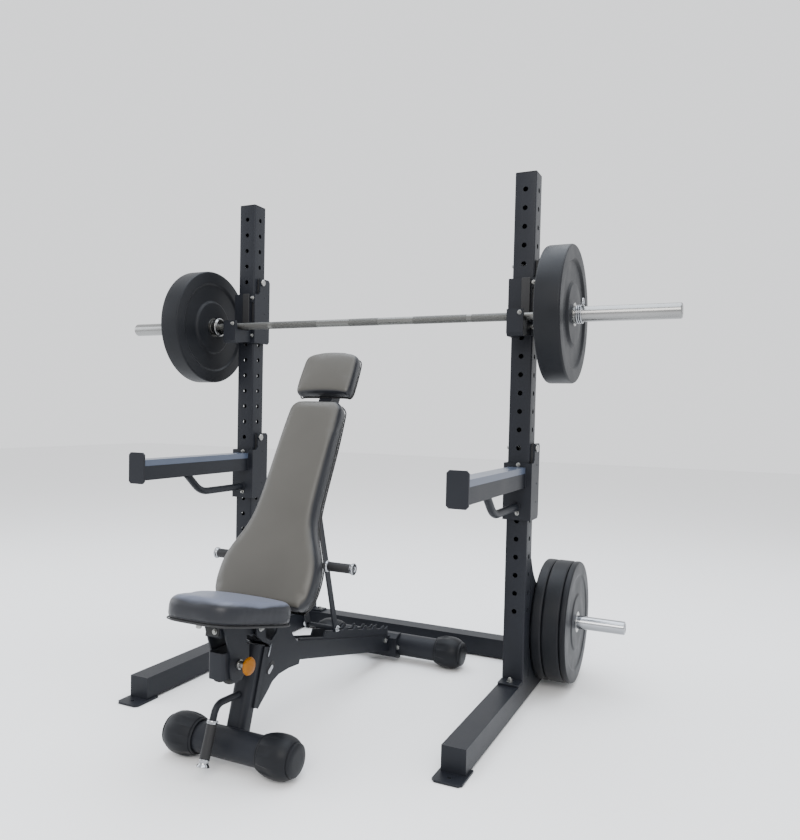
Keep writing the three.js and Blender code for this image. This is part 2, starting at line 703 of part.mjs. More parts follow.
// ---------- strut ----------
// A U of two flat bars joined by the foot rod, hung on a pin through the back tube.
function strut(top) {
  const foot = STRUT_FOOT;
  const legX = 52;
  const along = new THREE.Vector2(foot.y - top[0], foot.z - top[1]).normalize();
  const across = new THREE.Vector2(-along.y, along.x).multiplyScalar(12.5);
  const reach = 16;
  const corner = (p, a, b) => [p[0] + along.x * a + across.x * b, p[1] + along.y * a + across.y * b];
  const end = [foot.y, foot.z];
  const leg = outline([
    corner(top, -reach, -0.6), corner(top, -8, -1), corner(end, 6, -1), corner(end, 14, -0.5),
    corner(end, 14, 0.5), corner(end, 6, 1), corner(top, -8, 1), corner(top, -reach, 0.6),
  ]);
  roundHole(leg, top[0], top[1], 7.4, 10);
  return join(
    plateYZ(leg, legX, legX + 6),
    plateYZ(leg, -legX - 6, -legX),
    rod([-62, foot.y, foot.z], [62, foot.y, foot.z], STRUT_ROD_R, 14));
}

// ---------- seat, in its own frame: y back along the pad, z out of its top ----------
function seatPad() {
  const t = 74;
  const shape = new THREE.Shape();
  const back = 168;
  const front = 118;
  const length = 272;
  shape.moveTo(0, 0);
  shape.lineTo(-back + 60, 0);
  shape.quadraticCurveTo(-back, 0, -back, -62);
  shape.quadraticCurveTo(-back + 4, -110, -front - 14, -length + 90);
  shape.quadraticCurveTo(-front, -length, -front + 72, -length);
  shape.lineTo(front - 72, -length);
  shape.quadraticCurveTo(front, -length, front + 14, -length + 90);
  shape.quadraticCurveTo(back - 4, -110, back, -62);
  shape.quadraticCurveTo(back, 0, back - 60, 0);
  return plateXY(shape, -t, 0);
}

const RAIL = { top: -78.4, low: -114, rear: 22, front: -168 };

function seatFrame() {
  const h = 25;
  const tube = cut(
    box(-h, h, RAIL.front, RAIL.rear, RAIL.low, RAIL.top),
    box(-h + WALL, h - WALL, RAIL.front - 1, RAIL.rear + 1, RAIL.low + WALL, RAIL.top - WALL),
    rod([-h - 1, 10, -93], [h + 1, 10, -93], PIVOT_BORE_R, 10));
  const plate = box(-55, 55, -215, -24, RAIL.top - 0.4, -74.3);
  return join(tube, plate, seatCheek(-1), seatCheek(1));
}

// The seat's two hanging side plates, one on each side of the cradle.
function seatCheek(side) {
  const pinAt = [POP_PIN.y - SEAT_ORIGIN.y, POP_PIN.z - SEAT_ORIGIN.z];
  const c = Math.cos(deg(SEAT_ANGLE));
  const s = Math.sin(deg(SEAT_ANGLE));
  const [py, pz] = [pinAt[0] * c - pinAt[1] * s, pinAt[0] * s + pinAt[1] * c];
  const shape = new THREE.Shape();
  shape.moveTo(-168, RAIL.low + 30);
  shape.lineTo(py - 42, pz + 20);
  shape.lineTo(py - 40, pz - 12);
  shape.quadraticCurveTo(py - 30, pz - 52, py + 2, pz - 50);
  shape.quadraticCurveTo(py + 30, pz - 44, py + 30, pz - 8);
  shape.lineTo(py + 30, pz + 40);
  shape.lineTo(-60, RAIL.low + 30);
  roundHole(shape, py, pz, 6.2, 12);
  const inner = CRADLE_BOX.half + 1;
  const spacer = side < 0
    ? box(-inner - 1, -24, -160, -70, RAIL.low + 30, RAIL.low + 38)
    : box(24, inner + 1, -160, -70, RAIL.low + 30, RAIL.low + 38);
  const plate = side < 0 ? plateYZ(shape, -inner - 5, -inner) : plateYZ(shape, inner, inner + 5);
  return join(plate, spacer);
}

// The pop pin: housing on the seat's side plate, plunger and knob that pull out together.
function popHousing() {
  const face = CRADLE_BOX.half + 6 + GAP;
  const at = [POP_PIN.y, POP_PIN.z];
  return cut(
    join(rod([face, ...at], [face + 20, ...at], 11, 14), rod([face, ...at], [face + 5, ...at], 15, 6)),
    rod([face - 1, ...at], [face + 21, ...at], POP_PIN_R + 0.6, 14));
}

function popPlunger() {
  const face = CRADLE_BOX.half + 6 + GAP;
  const at = [POP_PIN.y, POP_PIN.z];
  return rod([CRADLE_BOX.half - 6, ...at], [face + 30, ...at], POP_PIN_R, 14);
}

function popKnob() {
  const face = CRADLE_BOX.half + 6 + GAP;
  const geometry = turned([
    [0, face + 30.3], [9, face + 30.3], [10, face + 24.4], [19, face + 24.4], [25, face + 29],
    [26, face + 34], [23, face + 40], [0, face + 43],
  ], 20);
  return cut(geometry.translate(0, POP_PIN.y, POP_PIN.z),
    rod([face + 20, POP_PIN.y, POP_PIN.z], [face + 30.3, POP_PIN.y, POP_PIN.z], POP_PIN_R + GAP, 14));
}

// ---------- assembly ----------
const model = new THREE.Group();
model.position.y = CENTRE_SHIFT_Y;

function addStand(parent) {
  for (const [name, side] of SIDES) {
    const x = side * UPRIGHT_X;
    mesh(`upright_${name}`, upright(x), STEEL, parent);
    mesh(`upright_cap_${name}`, uprightCap(x), PLASTIC, parent);
    mesh(`foot_${name}`, foot(side), STEEL, parent);
  }
  mesh('rear_cross_member', crossMember(), STEEL, parent);
  mesh('storage_peg', storagePeg(), CHROME, parent);
  for (const plate of STORED) {
    mesh(plate.name, bumper(plate.x, plate.t).translate(0, PEG_Y, PEG_Z), RUBBER, parent);
  }
}

function addBrackets(parent) {
  for (const [name, side] of SIDES) {
    const x = side * UPRIGHT_X;
    mesh(`j_hook_${name}`, jHook(x), STEEL, parent);
    mesh(`j_hook_liner_${name}`, bracketLiner(x, HOOK_Z), PLASTIC, parent);
    mesh(`j_hook_pin_${name}`, lockPin(x, HOOK_Z), CHROME, parent);
    mesh(`spotter_liner_${name}`, bracketLiner(x, ARM_Z), PLASTIC, parent);
    mesh(`spotter_pin_${name}`, lockPin(x, ARM_Z), CHROME, parent);
    mesh(`spotter_arm_${name}`, spotterArm(x), STEEL, parent);
    mesh(`spotter_strip_${name}`, spotterStrip(x), STRIP, parent);
  }
}

function addBarbell(parent) {
  const bar = new THREE.Group();
  bar.position.set(0, BAR_Y, BAR_Z);
  parent.add(bar);
  const reach = BAR_HALF - 11;
  mesh('bar_shaft', rod([-reach, 0, 0], [reach, 0, 0], BAR_R, 24), SHAFT, bar);
  for (const [name, side] of SIDES) {
    const x0 = side > 0 ? BAR_PLATE_X : -BAR_PLATE_X - BAR_PLATE_T;
    mesh(`bar_sleeve_${name}`, sleeve(side), SATIN, bar);
    mesh(`bar_plate_${name}`, bumper(x0, BAR_PLATE_T), RUBBER, bar);
    const collar = springCollar(BAR_PLATE_X + BAR_PLATE_T);
    if (side < 0) collar.rotateZ(Math.PI);
    mesh(`spring_collar_${name}`, collar, CHROME, bar);
  }
}

function addBenchFrame(bench) {
  for (const [end, place] of [['front', FRONT_FOOT], ['rear', REAR_FOOT]]) {
    mesh(`bench_${end}_foot`, footTube(place), STEEL, bench);
    for (const [name, side] of SIDES) {
      mesh(`bench_${end}_cap_${name}`, footCap(place, side), RUBBER, bench);
    }
  }
  mesh('bench_post', post(), STEEL, bench);
  mesh('bench_spine', spine(), STEEL, bench);
  for (const [name, side] of SIDES) {
    mesh(`bench_cheek_${name}`, cheek(side), STEEL, bench);
  }
  const span = CHEEK_IN + CHEEK_T + GAP;
  mesh('back_pivot_pin', headed(BACK_PIVOT.y, BACK_PIVOT.z, span, PIVOT_PIN_R), CHROME, bench);
  mesh('seat_pivot_pin', headed(SEAT_PIVOT.y, SEAT_PIVOT.z, span, PIVOT_PIN_R), CHROME, bench);
  mesh('front_handle', frontHandle(), CHROME, bench);
  mesh('front_grip', frontGrip(), RUBBER, bench);
}

function addBack(bench) {
  const back = new THREE.Group();
  back.position.set(0, BACK_ORIGIN.y, BACK_ORIGIN.z);
  back.rotation.x = deg(BACK_ANGLE);
  bench.add(back);
  mesh('back_tube', backTube(), STEEL, back);
  mesh('back_pad', backPad(), VINYL, back);
  mesh('head_pad', headPad(), VINYL, back);
  mesh('back_handle', backHandle(), CHROME, back);
  for (const [name, side] of SIDES) mesh(`back_grip_${name}`, backGrip(side), RUBBER, back);
  mesh('strut_pin', headed(STRUT_TOP.s, STRUT_TOP.off, 58.6, 7), CHROME, back);
  const c = Math.cos(deg(BACK_ANGLE));
  const s = Math.sin(deg(BACK_ANGLE));
  const top = [
    BACK_ORIGIN.y + STRUT_TOP.s * c - STRUT_TOP.off * s,
    BACK_ORIGIN.z + STRUT_TOP.s * s + STRUT_TOP.off * c,
  ];
  mesh('strut', strut(top), STEEL, bench);
}

function addSeat(bench) {
  const seat = new THREE.Group();
  seat.position.set(0, SEAT_ORIGIN.y, SEAT_ORIGIN.z);
  seat.rotation.x = -deg(SEAT_ANGLE);
  bench.add(seat);
  mesh('seat_pad', seatPad(), VINYL, seat);
  mesh('seat_frame', seatFrame(), STEEL, seat);
  mesh('pop_pin_housing', popHousing(), CHROME, bench);
  mesh('pop_pin_plunger', popPlunger(), CHROME, bench);
  mesh('pop_pin_knob', popKnob(), KNOB, bench);
}

addStand(model);
addBrackets(model);
addBarbell(model);
const benchGroup = new THREE.Group();
benchGroup.position.x = BENCH_X;
model.add(benchGroup);
addBenchFrame(benchGroup);
addBack(benchGroup);
addSeat(benchGroup);

export default model;
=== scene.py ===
"""Blender scene: a half rack, a loaded barbell and an adjustable bench.

Every length in the builders below is in millimetres in the rack's own frame: x along the bar,
y from the seat towards the uprights with 0 in the uprights' centre plane, z up from the floor.
at() turns such a point into the row frame, in metres.
"""
import math

import bmesh
import bpy
from mathutils import Matrix, Vector


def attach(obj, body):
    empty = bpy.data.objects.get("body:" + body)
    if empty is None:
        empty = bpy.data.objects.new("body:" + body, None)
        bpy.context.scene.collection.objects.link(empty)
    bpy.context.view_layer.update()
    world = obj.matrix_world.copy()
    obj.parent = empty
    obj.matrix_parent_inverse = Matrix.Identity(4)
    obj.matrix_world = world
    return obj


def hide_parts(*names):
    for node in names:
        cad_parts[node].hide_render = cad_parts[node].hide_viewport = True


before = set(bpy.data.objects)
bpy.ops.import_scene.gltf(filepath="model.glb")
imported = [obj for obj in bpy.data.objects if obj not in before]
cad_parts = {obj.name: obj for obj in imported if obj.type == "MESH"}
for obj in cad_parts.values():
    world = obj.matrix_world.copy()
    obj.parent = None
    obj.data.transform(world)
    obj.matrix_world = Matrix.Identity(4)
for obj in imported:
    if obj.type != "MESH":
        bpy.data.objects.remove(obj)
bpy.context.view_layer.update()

SHIFT_Y = 275.0
TAU = 2 * math.pi
ALONG, FORWARD = (1, 0, 0), (0, -1, 0)
SIDES = (("left", -1), ("right", 1))

# Camera: place, then yaw, pitch and roll in radians; lens and sensor in mm, shifts as shares.
CAMERA_AT = (1278.47, -2576.0, 1014.18)
CAMERA_YAW, CAMERA_PITCH, CAMERA_ROLL = 0.4439, 0.0352, 0.0214
CAMERA_LENS, CAMERA_SENSOR = 32.078957142857, 36
CAMERA_SHIFT = (0.01614, 0.02201)

# Studio, in metres. Each light: name, place, target, size, power, colour.
WORLD_COLOUR, WORLD_STRENGTH = (0.97, 0.98, 1.0), 1.4
FLOOR_HALF, FLOOR_Z, FLOOR_SHADE = 14.0, -0.0015, 0.9
LIGHTS = (
    ("key", (1.6, -4.2, 3.4), (0, 0, 0.9), (3.0, 2.2), 150, (1.0, 0.97, 0.93)),
    ("sky", (0.2, 0.4, 4.2), (0, 0, 0.5), (4.5, 4.0), 230, (0.84, 0.91, 1.0)),
    ("side", (-4.2, -1.2, 2.2), (0, 0, 0.8), (2.5, 2.5), 60, (0.9, 0.94, 1.0)),
    ("back", (3.4, 3.2, 2.4), (0.3, 0, 0.8), (2.4, 2.4), 22, (0.92, 0.95, 1.0)),
)

# Uprights, feet and peg
UPRIGHT_X, UPRIGHT_TOP = 579.0, 1844.0
TUBE, TUBE_CORNER, TUBE_WALL = 75.0, 5, 3
HOLE_TOP, HOLE_PITCH, HOLE_COUNT, HOLE_R = 1788.3, 63.5, 24, 8.75
FOOT_TOP = 81.0
CROSS_Y = 440
PEG_START, PEG_Y, PEG_Z = 616.8, 255.0, 242.0
STORED = (("inner", 620, 37), ("middle", 658.5, 61), ("outer", 721, 22))

# Hook and arm brackets
HOOK_Z, ARM_Z = 1285.0, 650.0
BRACKET_FRONT, BRACKET_HEIGHT = -50, 266
BRACKET_OUT = 14.5
PIN_DROP, PIN_R, PIN_HEAD_R = 17, 7, 13
BRACE_R, WELD_R = 13.4, 3

# Barbell
BAR_Y, BAR_Z = -100.7, 1345.4
SLEEVE_X, BUMPER_X, BUMPER_T, BUMPER_R = 655, 690, 82, 225.0
COLLAR_TURNS, COLLAR_R, COLLAR_PITCH, COLLAR_WIRE = 3.5, 28.2, 6.4, 2.9

# Bench
BENCH_X = -20.0
BACK_ANGLE, BACK_Y, BACK_Z = math.radians(61.5), -750.8, 420.0
SEAT_ANGLE, SEAT_Y, SEAT_Z = math.radians(-10.5), -748.0, 466.0
BENCH_PIVOTS = (("back_pivot", -634.2, 374.9), ("seat_pivot", -755.1, 372.7))
POP_PIN = (-857, 292)
POP_FACE, GUSSET_FACE = 34.3, 36.3
LIFT_ROD = (180, -83)
STRUT_TOP, STRUT_FOOT = (409, -83), (-338, 266)
SEAT_UNDERSIDE = -79
CAP_R = 61.5
FRONT_FOOT = {"y": -864, -1: 202, 1: 239}
REAR_FOOT = {"y": 212, -1: 328, 1: 330}
POST_Y, POST_Z, POST_LEAN = -835, 101, math.atan2(68, 221)
POST_HALF, POST_DEPTH, POST_TOP = 31, 58, 232
CRADLE = {"half": 28, "low": 260, "high": 336, "front": -918, "rear": -800, "wall": 5, "bend": 9}


def at(x, y, z):
    return Vector((x / 1000, (y + SHIFT_Y) / 1000, z / 1000))


def link_object(name, data):
    made = bpy.data.objects.new(name, data)
    bpy.context.collection.objects.link(made)
    return made


# ---------------------------------------------------------------- camera, floor and light
def add_camera():
    pitch_cos = math.cos(CAMERA_PITCH)
    forward = Vector((-math.sin(CAMERA_YAW) * pitch_cos, math.cos(CAMERA_YAW) * pitch_cos,
                      -math.sin(CAMERA_PITCH)))
    level = Vector((math.cos(CAMERA_YAW), math.sin(CAMERA_YAW), 0))
    up = level.cross(forward)
    right = math.cos(CAMERA_ROLL) * level + math.sin(CAMERA_ROLL) * up
    top = -math.sin(CAMERA_ROLL) * level + math.cos(CAMERA_ROLL) * up
    data = bpy.data.cameras.new("camera")
    data.sensor_width = CAMERA_SENSOR
    data.lens = CAMERA_LENS
    data.shift_x, data.shift_y = CAMERA_SHIFT
    data.clip_end = 100
    camera = link_object("camera", data)
    turn = Matrix((right, top, -forward)).transposed().to_4x4()
    camera.matrix_world = Matrix.Translation(at(*CAMERA_AT)) @ turn
    bpy.context.scene.camera = camera


def add_light(name, place, target, size, power, colour):
    data = bpy.data.lights.new(name, "AREA")
    data.shape = "RECTANGLE"
    data.size, data.size_y = size
    data.energy = power
    data.color = colour
    lamp = link_object(name, data)
    lamp.location = place
    lamp.rotation_euler = (Vector(target) - Vector(place)).to_track_quat("-Z", "Y").to_euler()


def add_studio():
    world = bpy.data.worlds.new("world")
    bpy.context.scene.world = world
    world.use_nodes = True
    background = world.node_tree.nodes["Background"]
    background.inputs["Color"].default_value = (*WORLD_COLOUR, 1)
    background.inputs["Strength"].default_value = WORLD_STRENGTH
    for light in LIGHTS:
        add_light(*light)
    mesh = bpy.data.meshes.new("floor")
    half = FLOOR_HALF
    mesh.from_pydata([(x, y, FLOOR_Z) for x, y in
                      ((-half, -half), (half, -half), (half, half), (-half, half))],
                     [], [(0, 1, 2, 3)])
    floor = link_object("floor", mesh)
    pale = bpy.data.materials.new("floor")
    pale.use_nodes = True
    shader = pale.node_tree.nodes["Principled BSDF"]
    shader.inputs["Base Color"].default_value = (FLOOR_SHADE, FLOOR_SHADE, FLOOR_SHADE, 1)
    shader.inputs["Roughness"].default_value = 0.9
    mesh.materials.append(pale)


# ---------------------------------------------------------------- materials
SKIN = "skin "


def new_material(name):
    """A material with its nodes, its links, its shader and the object's own coordinates."""
    material = bpy.data.materials.new(SKIN + name)
    material.use_nodes = True
    nodes, links = material.node_tree.nodes, material.node_tree.links
    return material, nodes, links, nodes["Principled BSDF"], nodes.new("ShaderNodeTexCoord")


def add_noise(nodes, links, coords, scale, detail):
    noise = nodes.new("ShaderNodeTexNoise")
    noise.inputs["Scale"].default_value = scale
    noise.inputs["Detail"].default_value = detail
    links.new(coords.outputs["Object"], noise.inputs["Vector"])
    return noise


def add_mix(nodes, links, share, dark, light):
    """A colour between dark and light, by the share socket."""
    mix = nodes.new("ShaderNodeMix")
    mix.data_type = "RGBA"
    mix.inputs[6].default_value = (*dark, 1)
    mix.inputs[7].default_value = (*light, 1)
    links.new(share, mix.inputs[0])
    return mix.outputs[2]


def vary_roughness(nodes, links, shader, source, low, high):
    rough = nodes.new("ShaderNodeMapRange")
    rough.inputs["To Min"].default_value = low
    rough.inputs["To Max"].default_value = high
    links.new(source, rough.inputs["Value"])
    links.new(rough.outputs["Result"], shader.inputs["Roughness"])


def add_bump(nodes, links, shader, height, strength, distance):
    bumps = nodes.new("ShaderNodeBump")
    bumps.inputs["Strength"].default_value = strength
    bumps.inputs["Distance"].default_value = distance
    links.new(height, bumps.inputs["Height"])
    links.new(bumps.outputs["Normal"], shader.inputs["Normal"])


def surface(name, dark, light, roughness, grain, bump, metallic=0.0, spread=0.12, large=9.0,
            gloss=0.28):
    """A grained surface: large soft colour patches, roughness variation and a fine bump."""
    material, nodes, links, shader, coords = new_material(name)
    patches = add_noise(nodes, links, coords, large, 5)
    fine = add_noise(nodes, links, coords, grain, 2)
    links.new(add_mix(nodes, links, patches.outputs["Fac"], dark, light),
              shader.inputs["Base Color"])
    vary_roughness(nodes, links, shader, patches.outputs["Fac"], max(roughness - spread, 0.03),
                   roughness + spread)
    add_bump(nodes, links, shader, fine.outputs["Fac"], bump, 0.0006)
    shader.inputs["Metallic"].default_value = metallic
    shader.inputs["Specular IOR Level"].default_value = 0.5 if metallic else gloss
    return material


def vinyl(name, face, edge, normal):
    """Upholstery vinyl: pebbled grain and painted light: the side that faces normal takes the face
    colour, a painted reflection, and the rest round it the darker edge colour.
    """
    material, nodes, links, shader, coords = new_material(name)
    pebble = nodes.new("ShaderNodeTexVoronoi")
    pebble.feature = "F1"
    pebble.inputs["Scale"].default_value = 620
    links.new(coords.outputs["Object"], pebble.inputs["Vector"])
    patches = add_noise(nodes, links, coords, 7, 4)
    # Painted light: how far a surface turns towards normal sets how much of the face colour, a
    # painted reflection, it gets.
    facing = nodes.new("ShaderNodeVectorMath")
    facing.operation = "DOT_PRODUCT"
    facing.inputs[1].default_value = normal
    links.new(coords.outputs["Normal"], facing.inputs[0])
    ramp = nodes.new("ShaderNodeMapRange")
    ramp.interpolation_type = "SMOOTHSTEP"
    ramp.inputs["From Min"].default_value = 0.55
    ramp.inputs["From Max"].default_value = 0.97
    links.new(facing.outputs["Value"], ramp.inputs["Value"])
    shade = nodes.new("ShaderNodeMix")
    shade.data_type = "RGBA"
    shade.blend_type = "MULTIPLY"
    shade.inputs[0].default_value = 0.22
    links.new(add_mix(nodes, links, ramp.outputs["Result"], edge, face), shade.inputs[6])
    links.new(patches.outputs["Fac"], shade.inputs[7])
    links.new(shade.outputs[2], shader.inputs["Base Color"])
    vary_roughness(nodes, links, shader, patches.outputs["Fac"], 0.31, 0.45)
    add_bump(nodes, links, shader, pebble.outputs["Distance"], 0.22, 0.0004)
    shader.inputs["Sheen Weight"].default_value = 0.06
    shader.inputs["Specular IOR Level"].default_value = 0.36
    return material


def knurled(name):
    """Bar steel cut with a diamond knurl."""
    material, nodes, links, shader, coords = new_material(name)
    shader.inputs["Metallic"].default_value = 0.9
    shader.inputs["Base Color"].default_value = (0.10, 0.10, 0.095, 1)
    shader.inputs["Roughness"].default_value = 0.46
    height = nodes.new("ShaderNodeMath")
    height.operation = "MULTIPLY"
    for slot, turn in enumerate((30, -30)):
        mapping = nodes.new("ShaderNodeMapping")
        mapping.inputs["Rotation"].default_value = (0, math.radians(turn), 0)
        wave = nodes.new("ShaderNodeTexWave")
        wave.bands_direction = "X"
        wave.inputs["Scale"].default_value = 190
        links.new(coords.outputs["Object"], mapping.inputs["Vector"])
        links.new(mapping.outputs["Vector"], wave.inputs["Vector"])
        links.new(wave.outputs["Fac"], height.inputs[slot])
    add_bump(nodes, links, shader, height.outputs["Value"], 0.6, 0.0008)
    return material


COAT = surface("powder_coat", (0.0075, 0.0085, 0.0115), (0.013, 0.0145, 0.019), 0.44, 1400, 0.16,
               spread=0.07, gloss=0.18)
PLASTIC = surface("black_plastic", (0.012, 0.012, 0.013), (0.02, 0.02, 0.021), 0.45, 700, 0.1)
STRIP = surface("strip_plastic", (0.050, 0.064, 0.098), (0.068, 0.086, 0.128), 0.30, 300, 0.08,
                spread=0.06, gloss=0.4)
CHROME = surface("chrome", (0.29, 0.30, 0.315), (0.42, 0.43, 0.45), 0.15, 260, 0.03, 1.0, 0.07)
BOLT = surface("zinc_bolt", (0.26, 0.26, 0.25), (0.38, 0.38, 0.365), 0.3, 500, 0.12, 1.0, 0.1)
SLEEVE = surface("satin_sleeve", (0.21, 0.21, 0.208), (0.29, 0.29, 0.285), 0.24, 220, 0.06, 1.0,
                 0.06)
BARE = surface("bar_steel", (0.12, 0.12, 0.115), (0.17, 0.17, 0.16), 0.36, 300, 0.08, 0.9, 0.07)
KNURL = knurled("bar_knurl")
RUBBER = surface("rubber", (0.005, 0.0056, 0.0072), (0.010, 0.011, 0.0135), 0.46, 340, 0.2,
                 spread=0.12, large=14.0, gloss=0.16)
GRIP = surface("grip_rubber", (0.010, 0.010, 0.011), (0.017, 0.017, 0.018), 0.5, 900, 0.35)
KNOB = surface("knob", (0.20, 0.068, 0.0008), (0.29, 0.105, 0.0012), 0.42, 200, 0.06, gloss=0.2)
BACK_NORMAL = (0, -math.sin(BACK_ANGLE), math.cos(BACK_ANGLE))
# Back and head pads: near-black vinyl; the warm grey of their front faces is a painted reflection.
VINYL = vinyl("vinyl_painted_reflection", (0.060, 0.0565, 0.049), (0.006, 0.007, 0.0105), BACK_NORMAL)
# Seat: near-black vinyl; the blue-grey of its top is a painted reflection of the sky.
SEAT_VINYL = vinyl("vinyl_seat_painted_sky", (0.095, 0.108, 0.152), (0.006, 0.007, 0.011), (0, 0.18, 0.98))


# ---------------------------------------------------------------- mesh building
def smooth(mesh, degrees=32):
    for polygon in mesh.polygons:
        polygon.use_smooth = True
    mesh.set_sharp_from_angle(angle=math.radians(degrees))


def add_piece(name, bm, material, body, replaces=(), degrees=32):
    bmesh.ops.remove_doubles(bm, verts=bm.verts, dist=1e-6)
    bmesh.ops.recalc_face_normals(bm, faces=bm.faces)
    mesh = bpy.data.meshes.new(name)
    bm.to_mesh(mesh)
    bm.free()
    mesh.materials.append(material)
    smooth(mesh, degrees)
    piece = link_object(name, mesh)
    finish_piece(piece, body, replaces)
    return piece


def finish_piece(piece, body, replaces=()):
    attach(piece, body)
    if replaces:
        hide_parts(*replaces)


def modify(piece, kind, **values):
    modifier = piece.modifiers.new(kind.lower(), kind)
    for key, value in values.items():
        setattr(modifier, key, value)
    return modifier


def bevel(piece, width, segments=3, degrees=32):
    modify(piece, "BEVEL", width=width / 1000, segments=segments, limit_method="ANGLE",
           angle_limit=math.radians(degrees), harden_normals=False)


def apply_modifiers(piece):
    depsgraph = bpy.context.evaluated_depsgraph_get()
    mesh = bpy.data.meshes.new_from_object(piece.evaluated_get(depsgraph))
    piece.modifiers.clear()
    piece.data = mesh


def axis_frame(direction):
    direction = Vector(direction).normalized()
    side = direction.orthogonal().normalized()
    return side, direction.cross(side).normalized(), direction


def bridge(bm, rings):
    """Joins each ring of points to the next with a band of faces."""
    for a, b in zip(rings, rings[1:]):
        for i in range(len(a)):
            j = (i + 1) % len(a)
            bm.faces.new((a[i], a[j], b[j], b[i]))


def close_ends(bm, rings):
    bm.faces.new(rings[0])
    bm.faces.new(rings[-1])


def rounded_corner(start, corner, end, steps):
    """Points from start to end on a curve that the corner pulls outward."""
    shares = [k / steps for k in range(steps + 1)]
    return [start * (1 - t) ** 2 + corner * 2 * t * (1 - t) + end * t ** 2 for t in shares]


def add_turned(bm, base, direction, profile, steps=48, wave=None):
    """Turns [(radius, distance)] about direction through base; closes both ends on the axis."""
    u, v, w = axis_frame(direction)
    base = Vector(base)
    rings = []
    for radius, distance in profile:
        if radius < 1e-6:
            rings.append([bm.verts.new(base + w * distance / 1000)])
            continue
        ring = []
        for i in range(steps):
            angle = TAU * i / steps
            reach = radius if wave is None else radius + wave(angle, radius, distance)
            offset = (u * math.cos(angle) + v * math.sin(angle)) * reach / 1000
            ring.append(bm.verts.new(base + offset + w * distance / 1000))
        rings.append(ring)
    for a, b in zip(rings, rings[1:]):
        if len(a) == 1 and len(b) == 1:
            continue
        for i in range(steps):
            j = (i + 1) % steps
            if len(a) == 1:
                bm.faces.new((a[0], b[j], b[i]))
            elif len(b) == 1:
                bm.faces.new((a[i], a[j], b[0]))
            else:
                bm.faces.new((a[i], a[j], b[j], b[i]))


def rounded(profile, radius=2.0, steps=4):
    """Rounds the corners of a turned profile, each with an arc of about that radius."""
    points = [Vector(p) for p in profile]
    result = [tuple(points[0])]
    for before, corner, after in zip(points, points[1:], points[2:]):
        a, b = before - corner, after - corner
        if a.length < 1e-6 or b.length < 1e-6 or abs(a.normalized().dot(b.normalized())) > 0.995:
            result.append(tuple(corner))
            continue
        cut = min(radius, a.length * 0.45, b.length * 0.45)
        start, end = corner + a.normalized() * cut, corner + b.normalized() * cut
        result.extend(tuple(point) for point in rounded_corner(start, corner, end, steps))
    result.append(tuple(points[-1]))
    return result


def turned_piece(name, base, direction, profile, material, body, replaces=(), steps=64,
                 radius=2.0, wave=None):
    bm = bmesh.new()
    add_turned(bm, base, direction, rounded(profile, radius), steps, wave)
    return add_piece(name, bm, material, body, replaces)


def add_tube(bm, points, radius, steps=20, closed_ends=True):
    """Sweeps a circle along points, in metres, without twist."""
    points = [Vector(p) for p in points]
    tangent = (points[1] - points[0]).normalized()
    side = tangent.orthogonal().normalized()
    rings = []
    for i, point in enumerate(points):
        ahead = points[min(i + 1, len(points) - 1)] - points[max(i - 1, 0)]
        ahead.normalize()
        side = (side - ahead * side.dot(ahead)).normalized()
        other = ahead.cross(side)
        rings.append([bm.verts.new(point + (side * math.cos(TAU * k / steps)
                                            + other * math.sin(TAU * k / steps)) * radius / 1000)
                      for k in range(steps)])
    bridge(bm, rings)
    if closed_ends:
        close_ends(bm, rings)


def filleted(points, bend, steps):
    """A path in metres with its corners bent, each starting bend mm before the corner."""
    points = [Vector(p) for p in points]
    bend /= 1000
    result = [points[0]]
    for before, corner, after in zip(points, points[1:], points[2:]):
        start = corner + (before - corner).normalized() * bend
        end = corner + (after - corner).normalized() * bend
        result.extend(rounded_corner(start, corner, end, steps))
    result.append(points[-1])
    return result


def add_plate(bm, outline, start, end, place):
    """A prism: outline (u, v) in mm swept from start to end; place(u, v, w) gives the point."""
    rings = [[bm.verts.new(place(u, v, level)) for u, v in outline] for level in (start, end)]
    close_ends(bm, rings)
    bridge(bm, rings)


def plate_piece(name, outline, start, end, place, material, body, replaces=(), degrees=32):
    bm = bmesh.new()
    add_plate(bm, outline, start, end, place)
    return add_piece(name, bm, material, body, replaces, degrees)


def round_rect(half_u, half_v, radius, steps=5):
    points = []
    for quarter, (su, sv) in enumerate(((1, 1), (-1, 1), (-1, -1), (1, -1))):
        for k in range(steps + 1):
            angle = math.pi / 2 * (quarter + k / steps)
            points.append((su * (half_u - radius) + radius * math.cos(angle),
                           sv * (half_v - radius) + radius * math.sin(angle)))
    return points


def hex_bolt(bm, base, direction, radius=9.0, height=7.0, reach=0.0):
    """A chamfered hex head on a washer, and above it the thread's rounded end, if it has reach."""
    u, v, w = axis_frame(direction)
    base = Vector(base)
    washer = 2.0
    add_turned(bm, base, direction, [(0, 0), (radius * 1.3, 0), (radius * 1.3, washer * 0.8),
                                     (radius * 1.2, washer), (0, washer)], 28)
    top = washer + height
    rings = []
    for size, level in ((1.0, washer), (1.0, washer + height * 0.75), (0.86, top)):
        rings.append([bm.verts.new(base + (u * math.cos(TAU * k / 6) + v * math.sin(TAU * k / 6))
                                   * radius * size / 1000 + w * level / 1000) for k in range(6)])
    bridge(bm, rings)
    close_ends(bm, rings)
    if reach:
        add_turned(bm, base, direction, [(0, top - 1), (radius * 0.52, top - 1),
                                         (radius * 0.52, top + reach - 1.5),
                                         (radius * 0.38, top + reach), (0, top + reach)], 18)


def dome_bolt(bm, base, direction, radius=10.0, height=6.0):
    """A carriage bolt's domed head."""
    profile = [(0, 0), (radius, 0)]
    for k in range(1, 7):
        angle = math.pi / 2 * k / 7
        profile.append((radius * math.cos(angle), height * math.sin(angle)))
    profile.append((0, height))
    add_turned(bm, base, direction, profile, 28)


